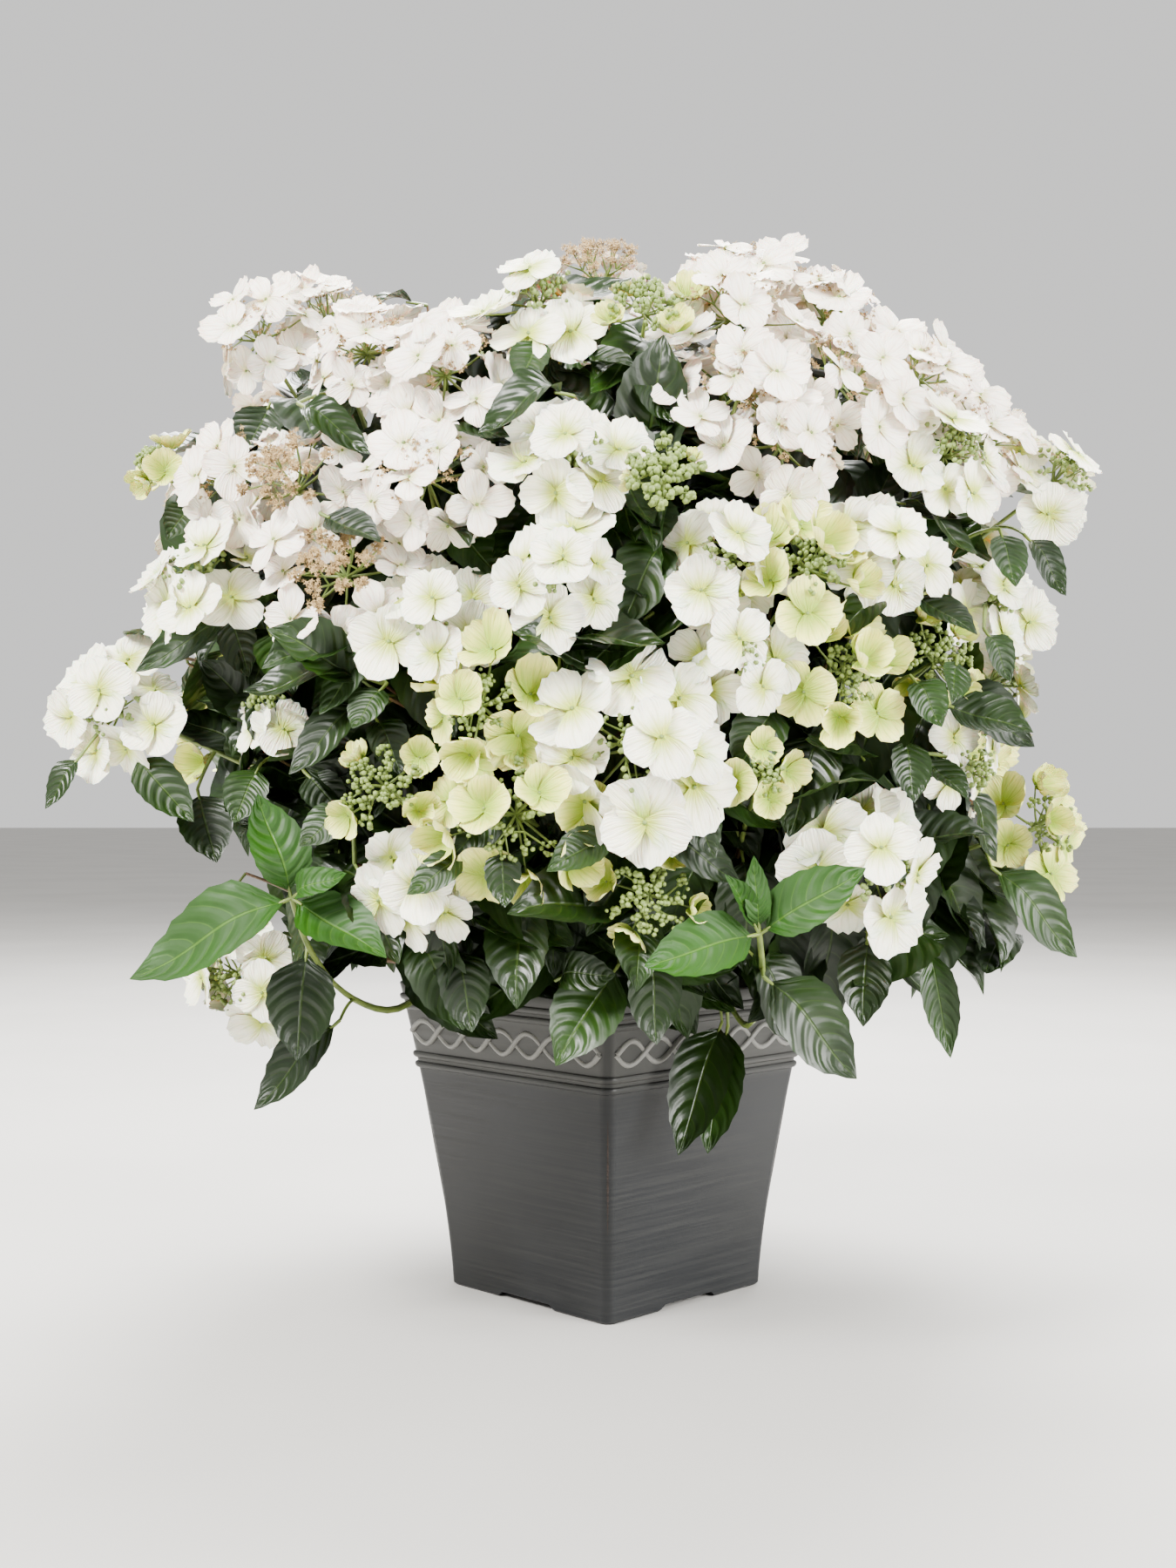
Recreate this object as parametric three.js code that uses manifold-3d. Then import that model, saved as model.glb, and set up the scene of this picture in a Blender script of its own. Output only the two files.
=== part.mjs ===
import * as THREE from 'three';
import { mergeVertices } from 'three/addons/utils/BufferGeometryUtils.js';
import Module from 'manifold-3d';

// A lacecap hydrangea shrub in its square flared planter, in millimetres with +Z up.
// The origin is the centre of the planter's underside. The viewer stands at -Y, facing a corner
// of the planter, and bearings are degrees round the crown from -Y towards +X.

const wasm = await Module();
wasm.setup();

// Planter: a rounded square that flares in a hollow curve from its base to its rim.
const planterHeight = 226;
const baseWidth = 165;
const rimWidth = 224;
const flarePower = 1.35;
const cornerRadius = 7;
const cornerPoints = 3;
const wallThickness = 4;
const floorThickness = 9;
const planterTurn = Math.PI / 4;
const plainLevels = [0, 45, 90, 130];
const hollowLevels = [90, 164];
const fillets = [
  { height: 164, proud: 1.8 },
  { height: 171.5, proud: 1.8 },
  { height: 207.5, proud: 1.8 },
  { height: 214.6, proud: 1.8 },
];
const filletHalfHeight = 2.4;
const rimEdge = 4;
const footNotch = { width: 50, height: 4.2, depth: 30, slope: 5 };

// Potting soil, a little below the rim.
const soilTop = 204;
const soilCrown = 6;
const soilCrownShare = 0.6;
const soilCrownCorner = 21;
const seatGap = 0.3;
const weldDistance = 1e-4;

// The woody stool that every cane rises from.
const stoolFootRadius = 44;
const stoolTopRadius = 30;
const stoolHeight = 26;
const stoolSides = 9;
const stoolWaist = { rise: 0.35, share: 0.86 };
const stoolShoulderRise = 0.85;
const stoolCrownShare = 0.7;

// Crown: flower heads stand on this rounded dome.
const crownCentre = new THREE.Vector3(-5, 0, 442);
const crownHalfWidth = 345;
const crownHalfDepth = 300;
const crownHalfHeight = 300;
const crownSquareness = 2.8;
const headLift = 0.35;
const headForward = 0.45;

// Canes: tapering limbs from the stool to the masses.
const caneFootRadius = 4.2;
const caneTipRadius = 2.7;
const caneSides = 4;
const caneSteps = 3;
const caneReach = 0.56;
const caneArch = 0.16;
const caneStartRise = 0.6;
const caneRings = [
  { above: 600, radius: 10 },
  { above: 430, radius: 21 },
  { above: -Infinity, radius: 33 },
];

// Twigs and leaves. Leaves stand in opposite pairs, each pair turned a quarter from the last.
const twigFootRadius = 2.6;
const twigTipRadius = 1.5;
const twigSides = 3;
const twigSteps = 2;
const leafLength = 96;
const leafWidth = 56;
const leafThickness = 2.4;
const leafDroop = 0.2;
const leafWidest = 0.45;
const leafVariety = 0.3;
const lightPull = new THREE.Vector3(0, 0, 0.9);
const leafLean = 0.7;
const leafSag = 0.3;
const twigBow = 18;
const twigBend = 0.55;
const stemLength = 14;

// Flower heads by kind: the head's radius, its ring of large florets, their radius, and where
// the pairs of leaves stand along the twig.
const blooms = {
  white: { radius: 66, florets: 4, floretRadius: 28, leafPairs: [0.36, 0.7] },
  faded: { radius: 61, florets: 4, floretRadius: 26, leafPairs: [0.66] },
  lime: { radius: 52, florets: 4, floretRadius: 21.5, leafPairs: [0.36, 0.7] },
  bud: { radius: 42, florets: 3, floretRadius: 17, leafPairs: [0.36, 0.7] },
  shoot: { radius: 0, florets: 0, floretRadius: 0, leafPairs: [0.36, 0.7, 0.97] },
};
const headDepth = 26;
const twigSink = 0.8;
const floretHold = 8;
const headRise = 9;
const floretThickness = 3.2;
const floretCup = 3;
const lobeDepth = 0.28;
const floretTilt = Math.PI / 6;

// A leaf may pass the halfway line to the next mass by this much, and is then tested for touch.
const massOverlap = 14;
// Space kept round the limbs of other masses.
const limbMargin = 1.2;
const blossomSeed = 17;
const leafSeed = 211;

// Each mass of foliage: bearing in degrees, height, kind of head, and reach beyond the dome.
const masses = {
  top_left: [[-62, 690, 'faded', 1.09], [-32, 656, 'faded', 1]],
  crown_top: [[-9, 692, 'white', 1], [6, 672, 'bud', 1], [0, 738, 'faded', 1], [0, 742, 'faded', 1]],
  top_right: [[18, 676, 'faded', 1], [37, 689, 'faded', 1], [90, 732, 'faded', 1]],
  right_shoulder: [[46, 645, 'faded', 1], [44, 590, 'white', 1], [68, 588, 'white', 1.03]],
  upper_left: [[-36, 562, 'faded', 1], [-19, 562, 'faded', 1]],
  left_shoot: [[-62, 592, 'bud', 1.02], [-48, 513, 'white', 1.02]],
  upper_centre: [[-3, 571, 'white', 1], [20, 585, 'faded', 1]],
  middle_left: [[-28, 503, 'faded', 1], [-18, 474, 'white', 0.97]],
  middle: [[-4, 495, 'white', 1.04], [-12, 418, 'lime', 1.02]],
  middle_right: [[13, 509, 'white', 1], [14, 450, 'white', 1]],
  right_middle: [[32, 520, 'white', 1], [40, 450, 'bud', 0.97]],
  right_side: [[57, 498, 'white', 0.93], [84, 515, 'white', 0.88], [78, 415, 'lime', 0.82]],
  left_wing: [[-62, 424, 'white', 1.1], [-43, 425, 'bud', 1]],
  front: [[3, 392, 'white', 1.03], [-9, 352, 'lime', 1]],
  low_left: [[-23, 369, 'bud', 1], [-20, 308, 'white', 1], [-34, 238, 'shoot', 0.86]],
  low_centre: [[5, 302, 'bud', 1], [-6, 248, 'shoot', 0.9], [17, 279, 'shoot', 0.95]],
  low_right: [[30, 321, 'white', 1.02], [17, 376, 'bud', 0.98], [26, 250, 'shoot', 1]],
  right_skirt: [[46, 381, 'white', 1], [60, 344, 'lime', 1.02], [52, 272, 'shoot', 1]],
  left_skirt: [[-59, 238, 'white', 1], [-36, 299, 'shoot', 0.95]],
  left_side: [[-92, 600, 'faded', 0.93], [-100, 505, 'white', 0.88], [-98, 350, 'shoot', 0.8]],
  back_top: [[140, 712, 'faded', 1], [200, 706, 'faded', 1], [172, 650, 'white', 1]],
  back_right_top: [[98, 645, 'faded', 1], [128, 630, 'white', 1], [112, 560, 'white', 1]],
  back_left_top: [[-112, 668, 'faded', 1], [-138, 635, 'white', 1], [-122, 565, 'white', 1]],
  back_right: [[136, 480, 'white', 1], [118, 370, 'white', 1]],
  back_middle: [[160, 545, 'white', 1], [192, 555, 'faded', 1], [172, 450, 'lime', 1]],
  back_left: [[-142, 480, 'white', 1], [-122, 400, 'lime', 1]],
  back_skirt: [[150, 310, 'white', 1], [184, 345, 'white', 1], [216, 290, 'white', 0.97]],
};

function seededRandom(seed) {
  let state = seed;
  return () => {
    state = (state + 0x6d2b79f5) | 0;
    let mixed = Math.imul(state ^ (state >>> 15), 1 | state);
    mixed = (mixed + Math.imul(mixed ^ (mixed >>> 7), 61 | mixed)) ^ mixed;
    return ((mixed ^ (mixed >>> 14)) >>> 0) / 4294967296;
  };
}

function toSolid(geometry) {
  const bare = new THREE.BufferGeometry();
  bare.setAttribute('position', geometry.getAttribute('position').clone());
  if (geometry.index) bare.setIndex(geometry.index.clone());
  const merged = mergeVertices(bare, weldDistance);
  return new wasm.Manifold(new wasm.Mesh({
    numProp: 3,
    vertProperties: new Float32Array(merged.getAttribute('position').array),
    triVerts: new Uint32Array(merged.index.array),
  }));
}

function toGeometry(solid) {
  const mesh = solid.getMesh();
  const geometry = new THREE.BufferGeometry();
  geometry.setAttribute('position', new THREE.BufferAttribute(mesh.vertProperties, 3));
  geometry.setIndex(new THREE.BufferAttribute(mesh.triVerts, 1));
  return geometry;
}

// Fusing can leave loose scraps or sealed hollows: only the largest outer body is kept.
function largestBody(solid) {
  const bodies = solid.decompose();
  return bodies.reduce((best, body) => (body.volume() > best.volume() ? body : best));
}

// Rings of equal length, each seen anticlockwise from the end, become one closed body.
function loft(rings) {
  const around = rings[0].length;
  const indices = [];
  for (let level = 0; level + 1 < rings.length; level += 1) {
    for (let i = 0; i < around; i += 1) {
      const j = (i + 1) % around;
      const low = level * around;
      const high = low + around;
      indices.push(low + i, low + j, high + j, low + i, high + j, high + i);
    }
  }
  const last = (rings.length - 1) * around;
  for (let i = 1; i + 1 < around; i += 1) {
    indices.push(0, i + 1, i, last, last + i, last + i + 1);
  }
  const geometry = new THREE.BufferGeometry().setFromPoints(rings.flat());
  geometry.setIndex(indices);
  return geometry;
}

// A tapering limb along a curve.
function limb(curve, footRadius, tipRadius, sides, steps) {
  const frames = curve.computeFrenetFrames(steps, false);
  const rings = [];
  for (let step = 0; step <= steps; step += 1) {
    const centre = curve.getPointAt(step / steps);
    const radius = THREE.MathUtils.lerp(footRadius, tipRadius, step / steps);
    const ring = [];
    for (let side = 0; side < sides; side += 1) {
      const angle = (side / sides) * 2 * Math.PI;
      ring.push(centre.clone()
        .addScaledVector(frames.normals[step], radius * Math.cos(angle))
        .addScaledVector(frames.binormals[step], radius * Math.sin(angle)));
    }
    rings.push(ring);
  }
  return loft(rings);
}

function planterHalfWidth(height) {
  const growth = (height / planterHeight) ** flarePower;
  return THREE.MathUtils.lerp(baseWidth, rimWidth, growth) / 2;
}

function roundedSquare(half, radius, height) {
  const ring = [];
  for (let corner = 0; corner < 4; corner += 1) {
    const middle = planterTurn + Math.PI / 4 + corner * Math.PI / 2;
    const diagonal = (half - radius) * Math.SQRT2;
    for (let i = 0; i < cornerPoints; i += 1) {
      const angle = middle + (i / (cornerPoints - 1) - 0.5) * Math.PI / 2;
      ring.push(new THREE.Vector3(
        diagonal * Math.cos(middle) + radius * Math.cos(angle),
        diagonal * Math.sin(middle) + radius * Math.sin(angle),
        height,
      ));
    }
  }
  return ring;
}

function makePlanter() {
  const levels = plainLevels.map((height) => ({ height, proud: 0 }));
  for (const fillet of fillets) {
    levels.push(
      { height: fillet.height - filletHalfHeight, proud: 0 },
      fillet,
      { height: fillet.height + filletHalfHeight, proud: 0 },
    );
  }
  levels.push({ height: planterHeight, proud: 0 });
  const outer = levels.map(({ height, proud }) => (
    roundedSquare(planterHalfWidth(height) + proud, cornerRadius, height)));
  const innerHeights = [floorThickness, ...hollowLevels, planterHeight - rimEdge, planterHeight + rimEdge];
  const inner = innerHeights.map((height) => (
    roundedSquare(planterHalfWidth(height) - wallThickness, cornerRadius, height)));
  let body = toSolid(loft(outer)).subtract(toSolid(loft(inner)));
  for (let side = 0; side < 4; side += 1) {
    body = body.subtract(makeFootNotch(side));
  }
  return body;
}

// One shallow notch with sloping ends, under the middle of a side.
function makeFootNotch(side) {
  const { width, height, depth, slope } = footNotch;
  const outline = new THREE.Shape([
    new THREE.Vector2(-width / 2 - slope, -height),
    new THREE.Vector2(width / 2 + slope, -height),
    new THREE.Vector2(width / 2 - slope, height),
    new THREE.Vector2(-width / 2 + slope, height),
  ]);
  const notch = new THREE.ExtrudeGeometry(outline, { depth: depth * 2, bevelEnabled: false });
  notch.rotateX(Math.PI / 2);
  notch.translate(0, -baseWidth / 2 + depth, 0);
  notch.rotateZ(planterTurn + side * Math.PI / 2);
  return toSolid(notch);
}

function makeSoil() {
  const heights = [floorThickness + seatGap, ...hollowLevels, soilTop];
  const rings = heights.map((height) => (
    roundedSquare(planterHalfWidth(height) - wallThickness - seatGap, cornerRadius, height)));
  const crownWidth = planterHalfWidth(soilTop) * soilCrownShare;
  rings.push(roundedSquare(crownWidth, soilCrownCorner, soilTop + soilCrown));
  return toSolid(loft(rings));
}

// The stool, or the room it takes up when grown by a small gap.
function makeStool(grow) {
  const foot = soilTop + soilCrown + (grow > 0 ? 0 : seatGap);
  const crown = soilTop + soilCrown + seatGap + stoolHeight;
  const waist = crown - stoolHeight * (1 - stoolWaist.rise);
  const shoulder = crown - stoolHeight * (1 - stoolShoulderRise);
  const profile = [
    new THREE.Vector2(0, foot),
    new THREE.Vector2(stoolFootRadius + grow, foot),
    new THREE.Vector2(stoolFootRadius * stoolWaist.share + grow, waist),
    new THREE.Vector2(stoolTopRadius + grow, shoulder + grow),
    new THREE.Vector2(stoolTopRadius * stoolCrownShare + grow, crown + grow),
    new THREE.Vector2(0, crown + grow),
  ];
  return toSolid(new THREE.LatheGeometry(profile, stoolSides).rotateX(Math.PI / 2));
}

// A point on the crown's dome.
function crownPoint(bearing, height, reach) {
  const rise = Math.abs(height - crownCentre.z) / crownHalfHeight;
  const ring = (1 - Math.min(rise, 1) ** crownSquareness) ** (1 / crownSquareness);
  const angle = THREE.MathUtils.degToRad(bearing);
  return new THREE.Vector3(
    crownCentre.x + crownHalfWidth * ring * reach * Math.sin(angle),
    crownCentre.y - crownHalfDepth * ring * reach * Math.cos(angle),
    height,
  );
}

// The way a head or shoot faces: out of the dome, a little upwards, and on the viewer's half of
// the crown a little forwards.
function crownNormal(point) {
  const out = point.clone().sub(crownCentre);
  out.x /= crownHalfWidth;
  out.y /= crownHalfDepth;
  out.z /= crownHalfHeight;
  out.y -= headForward * THREE.MathUtils.clamp(0.5 - 2 * out.y, 0, 1);
  out.z += headLift;
  return out.normalize();
}

// Turns a shape drawn along +X with its face to +Z so that it runs along `along` and faces `face`.
function placing(origin, along, face) {
  const x = along.clone().normalize();
  const y = new THREE.Vector3().crossVectors(face, x).normalize();
  const z = new THREE.Vector3().crossVectors(x, y);
  return new THREE.Matrix4().makeBasis(x, y, z).setPosition(origin);
}

// A pointed leaf of eight faces, arched over its midrib.
function leafGeometry(length, width) {
  const leaf = new THREE.OctahedronGeometry(1);
  const position = leaf.getAttribute('position');
  for (let i = 0; i < position.count; i += 1) {
    const end = position.getX(i);
    const side = position.getY(i);
    const face = position.getZ(i);
    const along = end < -0.5 ? 0 : end > 0.5 ? length : length * leafWidest;
    const arch = length * leafDroop * (along / length) ** 2;
    position.setXYZ(i, along, side * width / 2, face * leafThickness / 2 - arch);
  }
  return leaf;
}

// A floret of four broad sepals, slightly cupped.
function floretGeometry(radius) {
  const floret = new THREE.SphereGeometry(1, 8, 2).rotateX(Math.PI / 2);
  const position = floret.getAttribute('position');
  for (let i = 0; i < position.count; i += 1) {
    const x = position.getX(i);
    const y = position.getY(i);
    const face = position.getZ(i);
    const angle = Math.atan2(y, x);
    const lobe = 1 + lobeDepth * (Math.cos(4 * angle) - 1) / 2;
    const onRim = Math.hypot(x, y) > 0.5;
    const spread = onRim ? radius * lobe : 0;
    const lift = onRim ? floretCup * lobe : face * floretThickness / 2;
    position.setXYZ(i, spread * Math.cos(angle), spread * Math.sin(angle), lift);
  }
  return floret;
}

// The cyme under the florets: a shallow dome of buds on an upturned cone of stalks.
function cymeGeometry(radius) {
  const cyme = new THREE.SphereGeometry(1, 6, 2).rotateX(Math.PI / 2);
  const position = cyme.getAttribute('position');
  for (let i = 0; i < position.count; i += 1) {
    const face = position.getZ(i);
    const lift = face > 0.5 ? headRise : face < -0.5 ? -headDepth : 0;
    position.setXYZ(i, position.getX(i) * radius, position.getY(i) * radius, lift);
  }
  return cyme;
}

const caneStart = new THREE.Vector3(0, 0, soilTop + soilCrown + stoolHeight * caneStartRise);

// Where each head of a mass stands, and where the mass takes over from its cane.
function layOutMass(name, rows) {
  const heads = rows.map(([bearing, height, kind, reach]) => {
    const point = crownPoint(bearing, height, reach);
    return { point, normal: crownNormal(point), bloom: blooms[kind] };
  });
  const middle = new THREE.Vector3();
  for (const head of heads) middle.addScaledVector(head.point, 1 / heads.length);
  const entry = caneStart.clone().lerp(middle, caneReach);
  const tier = caneRings.find(({ above }) => middle.z > above);
  const angle = Math.atan2(middle.y, middle.x);
  const foot = new THREE.Vector3(tier.radius * Math.cos(angle), tier.radius * Math.sin(angle), 0);
  foot.z = caneStart.z;
  const knee = foot.clone().lerp(entry, 0.5);
  knee.z += caneArch * foot.distanceTo(entry);
  const path = new THREE.QuadraticBezierCurve3(foot, knee, entry);
  return { name, heads, entry, path, pieces: [], twigs: [] };
}

const layouts = Object.entries(masses).map(([name, rows]) => layOutMass(name, rows));

// A point belongs to the mass whose heads or entry lie nearest to it.
function spaceDistance(layout, point) {
  let nearest = layout.entry.distanceTo(point);
  for (const head of layout.heads) {
    nearest = Math.min(nearest, head.point.distanceTo(point));
  }
  return nearest;
}

function inOwnSpace(layout, geometry) {
  const position = geometry.getAttribute('position');
  const point = new THREE.Vector3();
  for (let i = 0; i < position.count; i += 1) {
    point.fromBufferAttribute(position, i);
    const own = spaceDistance(layout, point) - massOverlap;
    if (layouts.some((other) => other !== layout && spaceDistance(other, point) < own)) {
      return false;
    }
  }
  return true;
}

function boxesMeet(solid, other) {
  const a = solid.boundingBox();
  const b = other.boundingBox();
  return [0, 1, 2].every((axis) => a.min[axis] <= b.max[axis] && b.min[axis] <= a.max[axis]);
}

function touchesAny(solid, obstacles) {
  return obstacles.some((other) => boxesMeet(solid, other) && !solid.intersect(other).isEmpty());
}

// The same head seen flat: which way is level across it, and which way is up its face.
function headAxes(normal) {
  const level = new THREE.Vector3(0, 0.2, 1).cross(normal).normalize();
  return { level, upright: new THREE.Vector3().crossVectors(normal, level) };
}

function aroundHead({ level, upright }, angle) {
  return level.clone().multiplyScalar(Math.cos(angle)).addScaledVector(upright, Math.sin(angle));
}

// First growth of a mass: a stem in line with its cane, a twig to each head, and the blossom.
function growBlossom(layout, obstacles, random) {
  const start = layout.path.getTangentAt(1);
  const stemFoot = layout.entry.clone().addScaledVector(start, seatGap);
  const fork = layout.entry.clone().addScaledVector(start, stemLength);
  const stemTip = fork.clone().addScaledVector(start, twigFootRadius);
  const stem = new THREE.LineCurve3(stemFoot, stemTip);
  layout.pieces.push(toSolid(limb(stem, caneTipRadius, twigFootRadius, caneSides, 1)));

  for (const head of layout.heads) {
    const { bloom, normal } = head;
    const flowering = bloom.florets > 0;
    const scale = flowering ? bloom.radius / blooms.white.radius : 0;
    const twigTip = head.point.clone().addScaledVector(normal, -headDepth * scale * twigSink);
    const bend = fork.clone().lerp(twigTip, twigBend).addScaledVector(normal, -twigBow);
    bend.z += twigBow / 2;
    const path = new THREE.QuadraticBezierCurve3(fork, bend, twigTip);
    const twig = toSolid(limb(path, twigFootRadius, twigTipRadius, twigSides, twigSteps));
    if (touchesAny(twig, obstacles)) continue;
    layout.pieces.push(twig);
    const axes = headAxes(normal);
    const roll = random() * Math.PI;
    layout.twigs.push({ path, normal, axes, roll, leafPairs: bloom.leafPairs });

    if (!flowering) continue;
    const floretSpan = 2 * bloom.floretRadius * Math.cos(floretTilt);
    const cymeRadius = bloom.radius - floretSpan + floretHold;
    const cyme = cymeGeometry(cymeRadius).scale(1, 1, scale);
    const cymeSolid = toSolid(cyme.applyMatrix4(placing(head.point, axes.level, normal)));
    if (touchesAny(cymeSolid, obstacles)) continue;
    layout.pieces.push(cymeSolid);
    for (let i = 0; i < bloom.florets; i += 1) {
      const radial = aroundHead(axes, roll + (i / bloom.florets) * 2 * Math.PI);
      const outward = radial.clone().multiplyScalar(Math.cos(floretTilt))
        .addScaledVector(normal, -Math.sin(floretTilt));
      const centre = head.point.clone()
        .addScaledVector(radial, cymeRadius - floretHold)
        .addScaledVector(normal, -floretCup)
        .addScaledVector(outward, bloom.floretRadius);
      const floret = floretGeometry(bloom.floretRadius);
      const floretSolid = toSolid(floret.applyMatrix4(placing(centre, outward, normal)));
      if (!touchesAny(floretSolid, obstacles)) layout.pieces.push(floretSolid);
    }
  }
}

// Second growth: leaves in pairs along each twig, wherever the mass has room for them.
function growLeaves(layout, obstacles, random) {
  for (const { path, normal, axes, roll, leafPairs } of layout.twigs) {
    leafPairs.forEach((share, pair) => {
      const node = path.getPointAt(share);
      for (const side of [0, Math.PI]) {
        const along = aroundHead(axes, roll + side + pair * Math.PI / 2);
        along.addScaledVector(normal, leafLean * share);
        along.z -= leafSag;
        const size = 1 + leafVariety * (random() - 0.5);
        const face = normal.clone().add(lightPull);
        const leaf = leafGeometry(leafLength * size, leafWidth * size);
        leaf.applyMatrix4(placing(node, along, face));
        if (!inOwnSpace(layout, leaf)) continue;
        const solid = toSolid(leaf);
        if (!touchesAny(solid, obstacles)) layout.pieces.push(solid);
      }
    });
  }
}

const colours = {
  planter: { color: 0x5f6466, roughness: 0.5, metalness: 0 },
  soil: { color: 0x2b1d14, roughness: 1, metalness: 0 },
  cane: { color: 0x6d5a38, roughness: 0.75, metalness: 0 },
  bloom: { color: 0xdfe5cf, roughness: 0.6, metalness: 0 },
};

const shrub = new THREE.Group();

function addPart(name, solid, colour) {
  const mesh = new THREE.Mesh(toGeometry(solid), new THREE.MeshStandardMaterial(colour));
  mesh.name = name;
  shrub.add(mesh);
}

const planter = makePlanter();
const soil = makeSoil();
const stool = makeStool(0);
addPart('planter', planter, colours.planter);
addPart('potting_soil', soil, colours.soil);
addPart('short_stem', stool, colours.cane);

// Each cane is cut clear of the stool and of the canes already standing.
function caneGrownBy(layout, grow) {
  return toSolid(limb(
    layout.path,
    caneFootRadius + grow,
    caneTipRadius + grow,
    caneSides,
    caneSteps,
  ));
}

let taken = makeStool(seatGap);
for (const layout of layouts) {
  layout.cane = largestBody(caneGrownBy(layout, 0).subtract(taken));
  layout.caneSpace = caneGrownBy(layout, limbMargin);
  taken = taken.add(caneGrownBy(layout, seatGap));
  addPart(`cane_${layout.name}`, layout.cane, colours.cane);
}

// Everything that a twig, floret or leaf of this mass has to keep off.
function obstaclesOf(layout) {
  const others = layouts.filter((other) => other !== layout);
  return [
    planter,
    soil,
    stool,
    layout.cane,
    ...others.map((other) => other.caneSpace),
    ...others.flatMap((other) => other.pieces),
  ];
}

// Blossom claims its room first, then leaves fill what is left.
layouts.forEach((layout, index) => {
  growBlossom(layout, obstaclesOf(layout), seededRandom(blossomSeed + index));
});
layouts.forEach((layout, index) => {
  growLeaves(layout, obstaclesOf(layout), seededRandom(leafSeed + index));
});
for (const layout of layouts) {
  const mass = largestBody(layout.pieces.reduce((whole, piece) => whole.add(piece)));
  addPart(`mass_${layout.name}`, mass, colours.bloom);
}

export default shrub;
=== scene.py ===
import math
import random

import bpy
import numpy as np
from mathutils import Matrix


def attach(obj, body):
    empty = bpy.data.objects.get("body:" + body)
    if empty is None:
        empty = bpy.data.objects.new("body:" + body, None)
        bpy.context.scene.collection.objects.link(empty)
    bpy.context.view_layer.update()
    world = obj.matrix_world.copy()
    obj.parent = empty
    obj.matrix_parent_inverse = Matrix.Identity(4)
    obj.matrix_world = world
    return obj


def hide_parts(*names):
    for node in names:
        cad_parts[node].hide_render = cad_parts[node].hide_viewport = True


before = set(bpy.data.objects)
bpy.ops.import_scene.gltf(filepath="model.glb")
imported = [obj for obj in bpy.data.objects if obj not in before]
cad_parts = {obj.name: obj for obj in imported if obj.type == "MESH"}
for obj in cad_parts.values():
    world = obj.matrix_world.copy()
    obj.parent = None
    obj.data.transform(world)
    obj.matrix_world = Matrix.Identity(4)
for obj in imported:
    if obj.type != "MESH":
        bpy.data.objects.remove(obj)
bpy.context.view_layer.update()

# A lacecap hydrangea shrub in its square planter, in metres. The viewer stands at -Y, facing a
# corner of the planter. Bearings are degrees round the crown from -Y towards +X.


# Shared helpers

def leaveEdit():
    bpy.ops.object.mode_set(mode="OBJECT")


def dropSelection():
    if bpy.context.object and bpy.context.object.mode != "OBJECT":
        leaveEdit()
    bpy.ops.object.select_all(action="DESELECT")


def hold(piece):
    dropSelection()
    piece.select_set(True)
    bpy.context.view_layer.objects.active = piece


def choose(piece, test):
    bpy.ops.object.mode_set(mode="EDIT")
    bpy.ops.mesh.select_mode(type="VERT")
    bpy.ops.mesh.select_all(action="DESELECT")
    leaveEdit()
    for corner in piece.data.vertices:
        corner.select = test(corner.co)
    bpy.ops.object.mode_set(mode="EDIT")


def editAll():
    bpy.ops.object.mode_set(mode="EDIT")
    bpy.ops.mesh.select_all(action="SELECT")


def closeShell():
    bpy.ops.mesh.select_all(action="SELECT")
    bpy.ops.mesh.normals_make_consistent(inside=False)
    leaveEdit()


def shift(*by):
    bpy.ops.transform.translate(value=by)


def resize(by, about):
    bpy.ops.transform.resize(value=by, center_override=about)


def extrudeTo(height, width, levels):
    for newHeight, newWidth in levels:
        bpy.ops.mesh.extrude_region_move(TRANSFORM_OT_translate={"value": (0, 0, newHeight - height)})
        resize((newWidth / width, newWidth / width, 1), (0, 0, newHeight))
        height, width = newHeight, newWidth


def addLumps(piece, size, strength):
    texture = bpy.data.textures.new("lumps", "CLOUDS")
    texture.noise_scale = size
    relief = piece.modifiers.new("lumps", "DISPLACE")
    relief.texture = texture
    relief.strength = strength
    return relief


def linesOf(piece, axis):
    return sorted({round(corner.co[axis], 5) for corner in piece.data.vertices})


def applyAll(piece):
    hold(piece)
    for modifier in list(piece.modifiers):
        bpy.ops.object.modifier_apply(modifier=modifier.name)


def settle(piece):
    hold(piece)
    bpy.ops.object.transform_apply(location=True, rotation=True, scale=True)


def takeNew(name):
    piece = bpy.context.object
    piece.name = name
    settle(piece)
    return piece


def joinParts(parts):
    dropSelection()
    for part in parts:
        part.select_set(True)
    bpy.context.view_layer.objects.active = parts[0]
    bpy.ops.object.transform_apply(location=True, rotation=True, scale=True)
    bpy.ops.object.join()
    return parts[0]


def wear(piece, material):
    piece.data.materials.clear()
    piece.data.materials.append(material)


def register(piece, look, slot, *nodes):
    wear(piece, looks[look])
    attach(piece, "root")
    if nodes:
        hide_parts(*nodes)
    print(piece.name, len(piece.data.polygons))


def unit(vector):
    return vector / np.linalg.norm(vector)


def vec(x, y, z):
    return np.array([x, y, z], float)


def wobble(rng, size):
    return rng.uniform(-size, size)


# Materials

def tone(code):
    parts = [int(code[i:i + 2], 16) / 255 for i in (0, 2, 4)]
    return [((c + 0.055) / 1.055) ** 2.4 if c > 0.04045 else c / 12.92 for c in parts] + [1.0]


def link(output, socket):
    socket.id_data.links.new(output, socket)


def node(tree, kind, **settings):
    made = tree.nodes.new(kind)
    for key, value in settings.items():
        setattr(made, key, value)
    return made


def math2(tree, operation, a, b=0.0):
    made = node(tree, "ShaderNodeMath", operation=operation)
    for socket, value in zip(made.inputs, (a, b)):
        if isinstance(value, (int, float)):
            socket.default_value = value
        else:
            link(value, socket)
    return made.outputs[0]


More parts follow.
